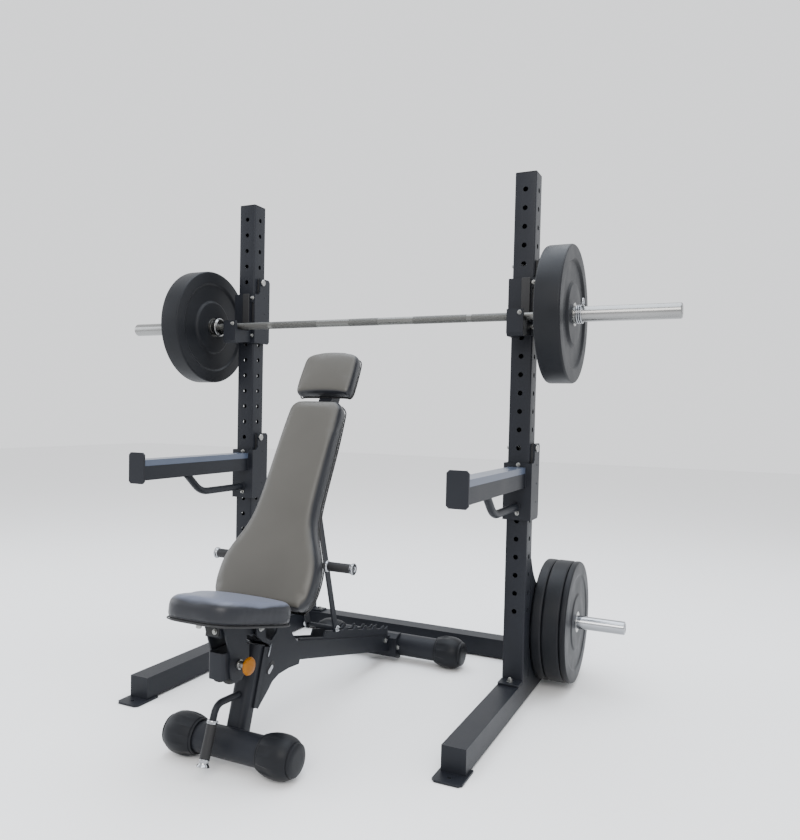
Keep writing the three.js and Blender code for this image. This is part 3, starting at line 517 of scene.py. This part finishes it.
def bolts_piece(name, body, hexes=(), domes=(), reach=0.0, radius=9.0):
    bm = bmesh.new()
    for base, direction in hexes:
        hex_bolt(bm, at(*base), direction, radius, reach=reach)
    for base, direction in domes:
        dome_bolt(bm, at(*base), direction)
    add_piece(name, bm, BOLT, body, degrees=28)


# ---------------------------------------------------------------- stand
def upward(x, y):
    """Places a level outline round (x, y), swept upward."""
    return lambda u, v, w: at(x + u, y + v, w)


def upright(name, side):
    """A square tube, open at both ends and drilled on all four faces, on its foot's flange."""
    x = side * UPRIGHT_X
    half = TUBE / 2
    outer = round_rect(half, half, TUBE_CORNER)
    inner = round_rect(half - TUBE_WALL, half - TUBE_WALL, 3)
    low, high = FOOT_TOP + 0.5, UPRIGHT_TOP
    bm = bmesh.new()
    loops = [[bm.verts.new(at(x + u, v, z)) for u, v in ring]
             for ring, z in ((outer, low), (outer, high), (inner, high), (inner, low))]
    bridge(bm, loops + loops[:1])
    piece = add_piece(f"upright_{name}_tube", bm, COAT, "rack", (f"upright_{name}",), 25)
    drill_upright(piece, x)
    flange_top = FOOT_TOP + 8
    bevel(plate_piece(f"upright_{name}_flange", round_rect(half, 28, 6), FOOT_TOP + 0.4, flange_top,
                      upward(x, -half - 28), COAT, "rack"), 1.2)
    bolts_piece(f"upright_{name}_bolt", "rack", [((x, -66, flange_top), (0, 0, 1))], reach=6)


def drill_upright(piece, x):
    inset = TUBE / 2 - 6
    cutter = bmesh.new()
    for k in range(HOLE_COUNT):
        z = HOLE_TOP - k * HOLE_PITCH
        for away in (-1, 1):
            for base, direction in ((at(x, away * inset, z), (0, away, 0)),
                                    (at(x + away * inset, 0, z), (away, 0, 0))):
                add_turned(cutter, base, direction, [(0, 0), (HOLE_R, 0), (HOLE_R, 10), (0, 10)],
                           24)
    bmesh.ops.remove_doubles(cutter, verts=cutter.verts, dist=1e-7)
    bmesh.ops.recalc_face_normals(cutter, faces=cutter.faces)
    mesh = bpy.data.meshes.new("cutter")
    cutter.to_mesh(mesh)
    cutter.free()
    tool = link_object("cutter", mesh)
    modify(piece, "BOOLEAN", operation="DIFFERENCE", object=tool, solver="EXACT")
    apply_modifiers(piece)
    bpy.data.objects.remove(tool)
    smooth(piece.data, 25)


def stand():
    half = TUBE / 2
    bracket_top = FOOT_TOP + 7
    for name, side in SIDES:
        upright(name, side)
        x = side * UPRIGHT_X
        bevel(plate_piece(f"cap_{name}", round_rect(half, half, TUBE_CORNER), UPRIGHT_TOP + 0.3,
                          UPRIGHT_TOP + 4, upward(x, 0), PLASTIC, "rack",
                          (f"upright_cap_{name}",)), 1.6)
        bolts_piece(f"gusset_bolts_{name}", "rack",
                    [((side * (UPRIGHT_X + half), 150, 120), (side, 0, 0))] if side < 0 else [],
                    [((side * (UPRIGHT_X - half), CROSS_Y, 44), (-side, 0, 0))])
        block = bmesh.new()
        add_plate(block, round_rect(30, 26, 3), FOOT_TOP, bracket_top,
                  upward(side * 491, CROSS_Y))
        add_plate(block, round_rect(26, 20, 3), side * 519 - 3, side * 519 + 3,
                  lambda u, v, w: at(w, CROSS_Y + u, FOOT_TOP + 20 + v))
        bevel(add_piece(f"corner_bracket_{name}", block, COAT, "rack"), 1)
        bolts_piece(f"corner_bolts_{name}", "rack",
                    [((side * 484, CROSS_Y, bracket_top), (0, 0, 1))])
    turned_piece("peg", at(PEG_START, PEG_Y, PEG_Z), ALONG,
                 [(0, 0), (34, 0), (34, 2.6), (24.5, 2.6), (24.5, 296), (21, 299.2), (17, 299.2),
                  (16, 297), (0, 297)], CHROME, "rack", ("storage_peg",), radius=1.5)


def bumper_piece(name, x0, thickness, y, z, body, node):
    """A moulded bumper: rounded rim, recessed face, raised hub and a steel bush."""
    recess = min(9.0, thickness * 0.18)
    rim, edge = BUMPER_R, 5
    face = [(25.6, 0.0), (100, 0.0), (107, recess), (171, recess), (179, 0.0)]
    rear = [(radius, thickness - d) for radius, d in reversed(face)]
    profile = face + [(rim - 3, 0.0), (rim, edge), (rim, thickness - edge),
                      (rim - 3, thickness)] + rear
    profile.append(profile[0])
    bm = bmesh.new()
    add_turned(bm, at(x0, y, z), ALONG, rounded(profile, 4.0, 4), 96)
    add_piece(f"{name}_body", bm, RUBBER, body, (node,), 40)
    bush = bmesh.new()
    bore, flange, proud = 25.5, 38, 0.25
    for inside, outside in ((0.2, -proud), (thickness - 0.2, thickness + proud)):
        add_turned(bush, at(x0, y, z), ALONG, [(bore, inside), (bore, outside), (flange, outside),
                                               (flange, inside), (bore, inside)], 64)
    add_piece(f"{name}_bush", bush, BOLT, body)


# ---------------------------------------------------------------- brackets
def cad_look(node, material, width):
    """Gives a CAD node its material and small rounded edges."""
    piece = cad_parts[node]
    piece.data.materials.clear()
    piece.data.materials.append(material)
    bevel(piece, width, degrees=30)


def pin_piece(name, x, z0, body, node):
    """A locking pin with a pointed inner end and a flat round head outside the bracket."""
    start = x - TUBE / 2 - 13
    reach = x + TUBE / 2 + BRACKET_OUT + 0.3 - start
    head = PIN_HEAD_R
    bm = bmesh.new()
    add_turned(bm, at(start, 0, z0 + BRACKET_HEIGHT - PIN_DROP), ALONG,
               rounded([(0, 0), (5.5, 0), (PIN_R, 3), (PIN_R, reach), (head - 1, reach),
                        (head, reach + 2), (head, reach + 6), (head - 2, reach + 8),
                        (0, reach + 8)], 0.8), 32)
    add_piece(name, bm, BOLT, body, (node,))


def rivets_piece(name, outer):
    """Small flush rivets that hold the liners to the brackets' side plates."""
    bm = bmesh.new()
    for z0 in (HOOK_Z, ARM_Z):
        for z in (60, 125, 190):
            dome_bolt(bm, at(outer, 20, z0 + z), ALONG, 3.6, 1.4)
    add_piece(f"liner_rivets_{name}", bm, COAT, "rack", degrees=28)


def hook_and_arm(name, side):
    x = side * UPRIGHT_X
    front = BRACKET_FRONT
    for node, material in ((f"j_hook_{name}", COAT), (f"j_hook_liner_{name}", PLASTIC),
                           (f"spotter_arm_{name}", COAT), (f"spotter_liner_{name}", PLASTIC),
                           (f"spotter_strip_{name}", STRIP)):
        cad_look(node, material, 1.2)
    pin_piece(f"hook_pin_{name}", x, HOOK_Z, f"j_hook_pin_{name}_body", f"j_hook_pin_{name}")
    pin_piece(f"arm_pin_{name}", x, ARM_Z, f"spotter_pin_{name}_body", f"spotter_pin_{name}")
    bolts_piece(f"hook_bolts_{name}", "rack",
                [((x + 40, front, HOOK_Z + 182), FORWARD), ((x + 40, front, HOOK_Z + 30), FORWARD),
                 ((x + 24, -158, 1352), FORWARD)], reach=2, radius=5.6)
    bevel(plate_piece(f"hook_guard_{name}", round_rect(15, 74, 3), -64.5, -57.5,
                      lambda u, v, w: at(x + 17 + u, w, 1408 + v), PLASTIC, "rack"), 1.2)
    plate_piece(f"hook_seat_{name}", round_rect(27, 34, 2), 1331.1, 1331.35,
                upward(x + 8, -106), PLASTIC, "rack")
    bolts_piece(f"arm_bolts_{name}", "rack",
                [((x + 4, front, ARM_Z + 192), FORWARD), ((x + 4, front, ARM_Z + 24), FORWARD)],
                reach=2, radius=5.6)
    rivets_piece(name, x + TUBE / 2 + BRACKET_OUT)
    arm_brace(name, x)


def arm_brace(name, x):
    """The bent tube under a spotter arm, with weld beads round its root and up the arm's sides."""
    front = BRACKET_FRONT
    arm_low = ARM_Z + 114
    root = arm_low - 68
    path = filleted([at(x, -388, arm_low + 2), at(x, -310, root), at(x, front + 0.5, root)], 42, 10)
    brace = bmesh.new()
    add_tube(brace, path, BRACE_R, 28)
    add_piece(f"arm_brace_{name}", brace, COAT, "rack")
    bead = BRACE_R + 0.1
    weld = bmesh.new()
    add_tube(weld, [at(x + bead * math.cos(a), front - 1.5, root + bead * math.sin(a))
                    for a in [TAU * k / 20 for k in range(21)]], WELD_R, 8)
    for dx in (-30.4, 30.4):
        add_tube(weld, [at(x + dx, front - 1.2, ARM_Z + z) for z in range(116, 164, 4)], 2.6, 8)
    add_piece(f"arm_weld_{name}", weld, COAT, "rack", degrees=50)


# ---------------------------------------------------------------- barbell
def barbell():
    """The shaft in bare and knurled stretches, then each side's sleeve, plate and collar."""
    rough_spans = ((-590, -420), (-402, -200), (-60, 60), (200, 402), (420, 590))
    stops = (-1089, -640, -590, -420, -402, -200, -60, 60, 200, 402, 420, 590, 640, 1089)
    for i, (x0, x1) in enumerate(zip(stops, stops[1:])):
        rough = (x0, x1) in rough_spans
        radius = 14.0 if rough else 13.7
        bm = bmesh.new()
        add_turned(bm, at(x0, BAR_Y, BAR_Z), ALONG,
                   [(0, 0), (radius, 0), (radius, x1 - x0), (0, x1 - x0)], 40)
        add_piece(f"bar_{i}", bm, KNURL if rough else BARE, "barbell", ("bar_shaft",))
    for name, side in SIDES:
        turned_piece(f"sleeve_{name}_tube", at(side * SLEEVE_X, BAR_Y, BAR_Z), (side, 0, 0),
                     [(14.3, 0), (30, 0), (37, 5), (37, 14), (32, 18), (32, 30), (25, 30),
                      (25, 441), (22, 445), (17, 445), (16.4, 442.5), (13, 442.5), (12, 444),
                      (0, 444)],
                     SLEEVE, f"sleeve_{name}", (f"bar_sleeve_{name}",), radius=1.6)
        bumper_piece(f"bumper_{name}", BUMPER_X if side > 0 else -BUMPER_X - BUMPER_T, BUMPER_T,
                     BAR_Y, BAR_Z, f"bumper_{name}", f"bar_plate_{name}")
        spring_collar(name, side)


def spring_collar(name, side):
    """A coiled wire clip: three and a half turns, then a straight tail with a looped end."""
    steps = 140
    points = []
    for k in range(steps + 1):
        turn = COLLAR_TURNS * k / steps
        angle = turn * TAU - math.pi / 2
        points.append((4 + turn * COLLAR_PITCH, COLLAR_R * math.cos(angle),
                       COLLAR_R * math.sin(angle)))
    last = Vector(points[-1])
    tangent = Vector((0.1, -math.sin(angle), math.cos(angle))).normalized()
    tail = [last + tangent * d for d in (4, 12, 20, 28)]
    axis = Vector(ALONG)
    centre = tail[-1] + Vector((0, tangent.z, -tangent.y)) * 9
    spoke = tail[-1] - centre
    nudge = Matrix.Rotation(0.1, 3, axis) @ spoke - spoke
    sense = 1 if nudge.dot(tangent) > 0 else -1
    loop_steps = 14
    for k in range(1, loop_steps + 1):
        swept = Matrix.Rotation(sense * TAU * 0.93 * k / loop_steps, 3, axis) @ spoke
        tail.append(centre + swept + axis * k * 0.12)
    flip = Matrix.Rotation(math.pi if side < 0 else 0, 3, Vector((0, 0, 1)))
    base = at(0, BAR_Y, BAR_Z)
    face = axis * (BUMPER_X + BUMPER_T)
    path = [base + flip @ (Vector(p) + face) / 1000 for p in points + tail]
    bm = bmesh.new()
    add_tube(bm, path, COLLAR_WIRE, 12)
    add_piece(f"collar_wire_{name}", bm, CHROME, f"collar_{name}", (f"spring_collar_{name}",), 50)


# ---------------------------------------------------------------- bench
def bench_at(x, y, z):
    return at(BENCH_X + x, y, z)


def flute(angle, radius, distance):
    """Lens-shaped hollows round the inner, thicker stretch of a foot's rubber boot."""
    middle, spread, depth, inner_radius = 34, 19, 5.2, 53
    along = math.exp(-((distance - middle) / spread) ** 2)
    around = max(0.0, math.cos(angle * 7)) ** 0.45
    return -depth * along * around if radius > inner_radius else 0.0


BOOT_LENGTH = 112
BOOT = [(44.2, 0.2), (49.5, 0.2), (50.5, 1.8), (50.5, 7), (53.5, 9), (56.5, 18), (59.5, 30),
        (61.2, 44), (61.5, 56), (60.6, 70), (57.6, 84), (53, 94), (49.6, 99), (48.4, 100.4),
        (46.4, 100.4), (46, 102.4), (46.4, 104), (45.2, 108), (41, 110.8), (26, 111.9),
        (0, BOOT_LENGTH)]


def foot_pieces(end, place):
    """A bench foot: its tube and a fluted rubber boot on each end."""
    y = place["y"]
    tube = bmesh.new()
    start, stop = 24 - place[-1], place[1] - 24
    add_turned(tube, bench_at(start, y, CAP_R), ALONG,
               [(0, 0), (44, 0), (44, stop - start), (0, stop - start)], 72)
    add_piece(f"{end}_foot_tube", tube, COAT, "bench", (f"bench_{end}_foot",))
    for name, side in SIDES:
        bm = bmesh.new()
        add_turned(bm, bench_at(side * (place[side] - BOOT_LENGTH), y, CAP_R), (side, 0, 0), BOOT,
                   112, flute)
        add_piece(f"{end}_boot_{name}", bm, RUBBER, "bench", (f"bench_{end}_cap_{name}",), 34)


def tilted(angle, y, z, x, s, off):
    c, s_ = math.cos(angle), math.sin(angle)
    return bench_at(x, y + s * c - off * s_, z + s * s_ + off * c)


def back_at(x, s, off):
    """A point of the back rest: s along the pad, off out of its front face."""
    return tilted(BACK_ANGLE, BACK_Y, BACK_Z, x, s, off)


def seat_at(x, s, off):
    """A point of the seat: s along it, negative towards its front, and off out of its top."""
    return tilted(SEAT_ANGLE, SEAT_Y, SEAT_Z, x, s, off)


def spline(points, steps=6):
    """A smooth closed outline through points (Catmull-Rom)."""
    result = []
    count = len(points)
    for i in range(count):
        p0, p1, p2, p3 = (Vector(points[(i + k - 1) % count]) for k in range(4))
        for k in range(steps):
            t = k / steps
            result.append(0.5 * ((2 * p1) + (p2 - p0) * t + (2 * p0 - 5 * p1 + 4 * p2 - p3) * t * t
                                 + (3 * p1 - p0 - 3 * p2 + p3) * t ** 3))
    return [(p.x, p.y) for p in result]


def shrink(outline, inset):
    """Moves an outline inward along its normals."""
    count = len(outline)
    area = sum(outline[i][0] * outline[(i + 1) % count][1]
               - outline[(i + 1) % count][0] * outline[i][1] for i in range(count))
    sign = 1 if area > 0 else -1
    result = []
    for i in range(count):
        ahead = Vector(outline[(i + 1) % count]) - Vector(outline[i - 1])
        ahead.normalize()
        result.append((outline[i][0] - sign * ahead.y * inset,
                       outline[i][1] + sign * ahead.x * inset))
    return result


def pad_block(pad, outline):
    """The pad's plain block: rounded a little round its base and more round its face."""
    levels = []
    bottom, top, edge, steps = pad["bottom"], pad["top"], pad["edge"], 6
    base_edge = edge * 0.35
    for k in range(steps + 1):
        a = math.pi / 2 * k / steps
        levels.append((base_edge * (1 - math.sin(a)), bottom + base_edge * (1 - math.cos(a))))
    for k in range(steps + 1):
        a = math.pi / 2 * k / steps
        levels.append((edge * (1 - math.cos(a)), top - edge + edge * math.sin(a)))
    bm = bmesh.new()
    rings = []
    for inset, level in levels:
        ring = shrink(outline, inset) if inset else outline
        rings.append([bm.verts.new(pad["place"](u, v, level)) for u, v in ring])
    bridge(bm, rings)
    close_ends(bm, rings)
    bmesh.ops.triangulate(bm, faces=bm.faces)
    bmesh.ops.recalc_face_normals(bm, faces=bm.faces)
    return bm


def pad_piece(pad):
    """A stuffed pad: the block, blown up a little as cloth, crowned and then smoothed."""
    name = f"{pad['name']}_cushion"
    outline = spline(both_sides(pad["half"]), 3)
    bm = pad_block(pad, outline)
    mesh = bpy.data.meshes.new(name)
    bm.to_mesh(mesh)
    bm.free()
    mesh.materials.append(pad["vinyl"])
    piece = link_object(name, mesh)
    modify(piece, "REMESH", mode="VOXEL", voxel_size=0.0055)
    apply_modifiers(piece)
    swell(piece, pad["cap"])
    crown_top(piece, outline, pad)
    modify(piece, "SMOOTH", factor=0.5, iterations=12)
    modify(piece, "SUBSURF", levels=1, render_levels=1)
    apply_modifiers(piece)
    for polygon in piece.data.polygons:
        polygon.use_smooth = True
    if not piece.data.materials:
        piece.data.materials.append(pad["vinyl"])
    finish_piece(piece, pad["body"], (f"{pad['name']}_pad",))


def swell(piece, cap):
    """Inflates the cover as cloth and limits how far each point moves, to cap mm."""
    rest = [v.co.copy() for v in piece.data.vertices]
    modifier = piece.modifiers.new("cloth", "CLOTH")
    settings = modifier.settings
    settings.use_pressure = True
    settings.uniform_pressure_force = 4
    settings.effector_weights.gravity = 0
    settings.quality = 4
    settings.mass = 0.4
    settings.tension_stiffness = 25
    settings.compression_stiffness = 25
    settings.shear_stiffness = 12
    settings.bending_stiffness = 20
    modifier.point_cache.frame_start = 1
    modifier.point_cache.frame_end = CLOTH_FRAMES
    scene = bpy.context.scene
    for number in range(1, CLOTH_FRAMES + 1):
        scene.frame_set(number)
    apply_modifiers(piece)
    limit = cap / 1000
    for vertex, start in zip(piece.data.vertices, rest):
        move = vertex.co - start
        if move.length > limit:
            move *= limit / move.length
        vertex.co = start + move
    scene.frame_set(1)


def crown_top(piece, outline, pad):
    """Raises the middle of the top face, so that it is softly domed."""
    place, bottom, top = pad["place"], pad["bottom"], pad["top"]
    origin = place(0, 0, 0)
    along = (place(0, 1, 0) - origin).normalized()
    across = (place(1, 0, 0) - origin).normalized()
    normal = (place(0, 0, 1) - origin).normalized()
    low = min(v for _, v in outline)
    high = max(v for _, v in outline)
    reach = 25
    for vertex in piece.data.vertices:
        local = (vertex.co - origin) * 1000
        u, v, w = local.dot(across), local.dot(along), local.dot(normal)
        share = min(max((w - bottom) / (top - bottom), 0), 1) ** 2
        t = min(max((v - low) / (high - low), 0), 1)
        half = max((abs(a) for a, b in outline if abs(b - v) < reach), default=1)
        across_fade = max(0.0, 1 - (u / max(half, 1)) ** 2)
        along_fade = max(0.0, 1 - (2 * t - 1) ** 6)
        vertex.co += normal * pad["crown"] / 1000 * share * across_fade * along_fade


# Half outlines, as (distance along the pad, half width), and the table of pads: bottom and top
# are levels of the block, base is the level of its piping, cap is the cloth's limit.
PAD_HALF = ((18, 130), (24, 152), (40, 166), (65, 174), (95, 177.5), (125, 177.5), (155, 174),
            (185, 165), (215, 152), (250, 136), (290, 122), (340, 114.5), (420, 111), (560, 108),
            (680, 101), (704, 95), (718, 82), (724, 62))
HEAD_HALF = ((757, 70), (754, 94), (764, 104), (790, 107), (850, 106.5), (893, 103), (910, 90),
             (919, 60), (924, 20))
SEAT_HALF = ((-270, 36), (-267, 68), (-256, 92), (-235, 109), (-202, 123), (-155, 137), (-112, 150),
             (-70, 161), (-40, 162), (-16, 148), (-4, 118), (-1, 70))

PADS = (
    {"name": "back", "half": PAD_HALF, "place": back_at, "bottom": -54.5, "top": -6, "base": -55,
     "edge": 17, "crown": 5, "cap": 5, "vinyl": VINYL, "body": "back_rest"},
    {"name": "head", "half": HEAD_HALF, "place": back_at, "bottom": -58, "top": -17, "base": -58.5,
     "edge": 15, "crown": 5, "cap": 5, "vinyl": VINYL, "body": "back_rest"},
    {"name": "seat", "half": SEAT_HALF, "place": seat_at, "bottom": -68, "top": -10, "base": -69,
     "edge": 22, "crown": 8, "cap": 2, "vinyl": SEAT_VINYL, "body": "seat"},
)
CLOTH_FRAMES = 20


def both_sides(half):
    return [(w, s) for s, w in half] + [(-w, s) for s, w in reversed(half)]


def pads():
    for pad in PADS:
        pad_piece(pad)
    for pad in PADS:
        name, place, base = pad["name"], pad["place"], pad["base"]
        outline = spline(both_sides(pad["half"]), 4)
        path = [place(u, v, base) for u, v in shrink(outline, 1.5)]
        bm = bmesh.new()
        add_tube(bm, path + [path[0]], 2.4, 10, closed_ends=False)
        add_piece(f"{name}_piping", bm, PLASTIC, pad["body"], degrees=60)
        plate_piece(f"{name}_board", shrink(outline, 7), base - 4.5, base + 3, place, PLASTIC,
                    pad["body"])


def post_at(x, u, v):
    """A point of the leaning post: u up along it, v back from its front face."""
    c, s = math.cos(POST_LEAN), math.sin(POST_LEAN)
    return bench_at(x, POST_Y + u * s + v * c, POST_Z + u * c - v * s)


def seat_post():
    """The round-cornered post and, in front of it, the folded cradle of the seat's adjuster."""
    plate_piece("post_tube", round_rect(POST_HALF, POST_DEPTH / 2, 19, 8), -24, POST_TOP,
                lambda u, v, w: post_at(u, w, v + POST_DEPTH / 2), COAT, "bench",
                ("bench_post",), 25)
    half, low, high, rear, wall = (CRADLE[key] for key in ("half", "low", "high", "rear", "wall"))
    outer = cradle_bend(CRADLE["bend"])
    inner = cradle_bend(CRADLE["bend"] - wall)
    outline = ([(-half, rear)] + outer + [(half, rear), (half - wall, rear)] + inner[::-1]
               + [(-half + wall, rear)])
    bevel(plate_piece("seat_cradle", outline, low, high, bench_at, COAT, "bench", (), 25), 0.8, 2)
    plate_piece("seat_cradle_floor", round_rect(half - wall, 56, 3), low, low + wall,
                lambda u, v, w: bench_at(u, -857 + v, w), COAT, "bench", (), 25)
    cradle_web(low + 2)


def cradle_bend(radius):
    """The cradle's two front corners, bent to radius, from left to right."""
    x = CRADLE["half"] - CRADLE["bend"]
    y = CRADLE["front"] + CRADLE["bend"]
    turn = [math.pi / 12 * k for k in range(7)]
    right = [(x + radius * math.sin(a), y - radius * math.cos(a)) for a in turn]
    return [(-u, v) for u, v in reversed(right)] + right


def cradle_web(top):
    """Two thin quarter-round plates that hang under the cradle's floor."""
    front, length, drop = -905, 50, 27
    sector = [(front, top)]
    for k in range(13):
        a = math.pi + math.pi / 2 * k / 12
        sector.append((front + length + length * math.cos(a), top + drop * math.sin(a)))
    sector += [(-822, top - drop), (CRADLE["rear"], top)]
    web = bmesh.new()
    for side in (-1, 1):
        add_plate(web, sector, side * 17 - 2.5, side * 17 + 2.5,
                  lambda u, v, w: bench_at(w, u, v))
    add_piece("seat_cradle_web", web, PLASTIC, "bench", (), 25)


def bench_frame():
    for node in ("bench_spine", "bench_cheek_left", "bench_cheek_right", "seat_frame",
                 "back_tube", "strut"):
        cad_look(node, COAT, 1.4)
    foot_pieces("front", FRONT_FOOT)
    foot_pieces("rear", REAR_FOOT)
    seat_post()
    carry_handle()
    lift_handle()


def carry_handle():
    """The bent front handle, with its collar, rubber grip and flared end."""
    grip_top, grip_low = Vector((0, -930, 142)), Vector((0, -961, 54))
    run = grip_low - grip_top
    end = grip_top + run * 1.22
    corner = grip_top - run * 0.5455
    path = filleted([bench_at(0, -813.5, 184.4), bench_at(*corner), bench_at(*end)], 28, 12)
    rod, grip = 10, 14.5
    bm = bmesh.new()
    add_tube(bm, path, rod, 28)
    add_piece("carry_handle", bm, COAT, "bench", ("front_handle",))
    top = bench_at(*grip_top)
    length = run.length
    turned_piece("carry_collar", top, run, [(rod, -9), (15, -9), (16, -6), (16, 1), (rod, 1)],
                 CHROME, "bench", radius=1.2)
    turned_piece("carry_grip", top, run,
                 [(rod + 0.4, 1.8), (grip, 1.8), (grip, length - 2), (rod + 0.4, length - 2)],
                 GRIP, "bench", ("front_grip",), radius=1.2)
    turned_piece("carry_end", top, run,
                 [(rod, length - 1), (grip, length - 1), (grip, length + 4), (13, length + 7),
                  (14, length + 12), (18.6, length + 18), (18.6, length + 20.4),
                  (0, length + 20.6)],
                 CHROME, "bench", radius=1.2)


def lift_handle():
    """The rod across the back rest, with a collar, a rubber grip and an end on each side."""
    for name, side in SIDES:
        direction = (side, 0, 0)
        turned_piece(f"lift_grip_{name}", back_at(side * 170.3, *LIFT_ROD), direction,
                     [(9.6, 0), (14.5, 0), (14.5, 75.2), (9.6, 75.2)], GRIP, "back_rest",
                     (f"back_grip_{name}",), radius=1.2)
        turned_piece(f"lift_collar_{name}", back_at(side * 158, *LIFT_ROD), direction,
                     [(9, 0), (13, 0), (17.5, 3), (17.5, 8), (14, 12), (9, 12)], CHROME,
                     "back_rest", radius=1.2)
        turned_piece(f"lift_end_{name}", back_at(side * 245.6, *LIFT_ROD), direction,
                     [(9, 0), (15, 0), (15, 3), (18, 6), (18, 11), (16, 12.3), (8, 12.3), (7, 10),
                      (0, 10)], CHROME, "back_rest", radius=1)
    rod = bmesh.new()
    add_tube(rod, [back_at(-248, *LIFT_ROD), back_at(248, *LIFT_ROD)], 9, 32)
    add_piece("lift_rod", rod, CHROME, "back_rest", ("back_handle",))


def slanted(x, y, z, tilt):
    """Places outline points (u, v) in a plane across the bench, turned by tilt degrees."""
    c, s = math.cos(math.radians(tilt)), math.sin(math.radians(tilt))
    return lambda u, v, w: bench_at(x + w, y + u * c - v * s, z + u * s + v * c)


def gusset_details():
    """A thin dark plate as a slot, its darkness painted shade, with a chrome pin; a chrome sliver
    as a painted highlight; and the flanges that wrap the post.
    """
    face = GUSSET_FACE
    for name, side in SIDES:
        pin = bmesh.new()
        # Painted shade: a thin dark plate on the cheek stands for the shadowed inside of the slot.
        plate_piece(f"gusset_slot_painted_shade_{name}", round_rect(23, 12, 11.9, 8), 0, side * 0.8,
                    slanted(side * face, -703, 236, 38), GRIP, "bench", (), 28)
        add_plate(pin, round_rect(15, 6.5, 6.4, 8), 0, side * 3.2,
                  slanted(side * face, -706, 232, 38))
        # Painted highlight: this thin chrome sliver stands for a highlight on the cheek's edge.
        add_plate(pin, round_rect(19, 3.2, 3.1, 6), 0, side * 2.0,
                  slanted(side * face, -710, 291, 68))
        add_piece(f"gusset_pin_and_painted_highlight_{name}", pin, CHROME, "bench", (), 28)
        low, high = sorted((side * (POST_HALF + 0.2), side * face))
        bevel(plate_piece(f"gusset_flange_{name}", [(52, 36), (228, 36), (228, 61), (52, 61)],
                          low, high, lambda u, v, w: post_at(w, u, v), COAT, "bench", (), 28),
              1.2)


def knob_ridge(angle, radius, distance):
    """Finger ridges round the widest part of the knob."""
    depth, inner_radius = 0.9, 22
    return -depth * max(0.0, math.cos(angle * 12)) if radius > inner_radius else 0.0


def pop_pin():
    """The seat's spring pin: the housing on the seat, the plunger and its ridged knob."""
    base = bench_at(POP_FACE, *POP_PIN)
    turned_piece("pop_housing", base, ALONG,
                 [(5.6, 0), (14, 0), (14, 5), (11, 5), (11, 20), (5.6, 20)], BOLT, "seat",
                 ("pop_pin_housing",), radius=0.8)
    turned_piece("pop_plunger", bench_at(22, *POP_PIN), ALONG,
                 [(0, 0), (4, 0), (5, 2), (5, 42), (0, 42)], CHROME, "pop_pin",
                 ("pop_pin_plunger",), radius=0.6)
    turned_piece("pop_knob", base, ALONG,
                 [(5.4, 22), (14, 22), (19, 25), (24, 28), (26, 32), (26, 36), (22, 41),
                  (10, 43), (0, 43.2)], KNOB, "pop_pin", ("pop_pin_knob",), 72, 2.5, knob_ridge)


def pivot_piece(name, place, half, radius, head, body, node):
    """A pivot bolt through the bench, with a hex head (radius, height) on both ends."""
    bm = bmesh.new()
    add_tube(bm, [place(-half), place(half)], radius, 24)
    for side in (-1, 1):
        hex_bolt(bm, place(side * (half - 0.1)), (side, 0, 0), *head)
    add_piece(name, bm, BOLT, body, (node,), 28)


def pivots():
    for name, y, z in BENCH_PIVOTS:
        pivot_piece(f"{name}_bolt", lambda x: bench_at(x, y, z), 36.6, 7.6, (9.5, 6.5), "bench",
                    f"{name}_pin")
    pivot_piece("strut_bolt", lambda x: back_at(x, *STRUT_TOP), 58.6, 7, (9, 6), "back_rest",
                "strut_pin")
    bm = bmesh.new()
    for side in (-1, 1):
        add_turned(bm, bench_at(side * 58, *STRUT_FOOT), (side, 0, 0),
                   rounded([(0, 0), (11, 0), (11, 5), (8.4, 6), (8.4, 10), (6, 12), (0, 12)], 0.8),
                   32)
    add_piece("strut_ends", bm, CHROME, "strut_body", (), 30)


def seat_hardware():
    """The bolts and the stud under the seat, and the plug and bolt in its tube's front end."""
    down = tuple(seat_at(0, 0, -1) - seat_at(0, 0, 0))
    bm = bmesh.new()
    for x in (-34, 34):
        for s in (-190, -60):
            dome_bolt(bm, seat_at(x, s, SEAT_UNDERSIDE), down, 9, 5)
    add_piece("seat_bolts", bm, BOLT, "seat", (), 28)
    bm = bmesh.new()
    add_turned(bm, seat_at(-22, -205, SEAT_UNDERSIDE), down,
               rounded([(0, 0), (8, 0), (8, 10), (6, 12), (0, 12)], 0.8), 24)
    add_piece("seat_stud", bm, BOLT, "seat", (), 28)
    tube_front = -171
    bevel(plate_piece("seat_tube_plug", round_rect(21.6, 14.6, 3), tube_front, -150,
                      lambda u, v, w: seat_at(u, w, -96.2 + v), PLASTIC, "seat", (), 28), 1.2)
    bm = bmesh.new()
    hex_bolt(bm, seat_at(8, tube_front, -98), tuple(seat_at(0, -1, 0) - seat_at(0, 0, 0)), 6, 4)
    add_piece("seat_tube_bolt", bm, BOLT, "seat", (), 28)


def bench_hardware():
    pop_pin()
    pivots()
    gusset_details()
    bm = bmesh.new()
    for side in (-1, 1):
        hex_bolt(bm, bench_at(side * 62, 172, 60), (side, 0, 0), 9, 6.5)
        hex_bolt(bm, bench_at(side * 30, 120, 96), (side, 0, 0), 8, 6.0)
    add_piece("rear_saddle_bolts", bm, BOLT, "bench", (), 28)
    seat_hardware()


add_camera()
add_studio()
for foot_node in ("foot_left", "foot_right", "rear_cross_member"):
    cad_look(foot_node, COAT, 3.0)
stand()
for key, x_start, thick in STORED:
    bumper_piece(f"stored_{key}_disc", x_start, thick, PEG_Y, PEG_Z, f"stored_{key}",
                 f"stored_plate_{key}")
for side_name, sign in SIDES:
    hook_and_arm(side_name, sign)
barbell()
bench_frame()
bench_hardware()
pads()
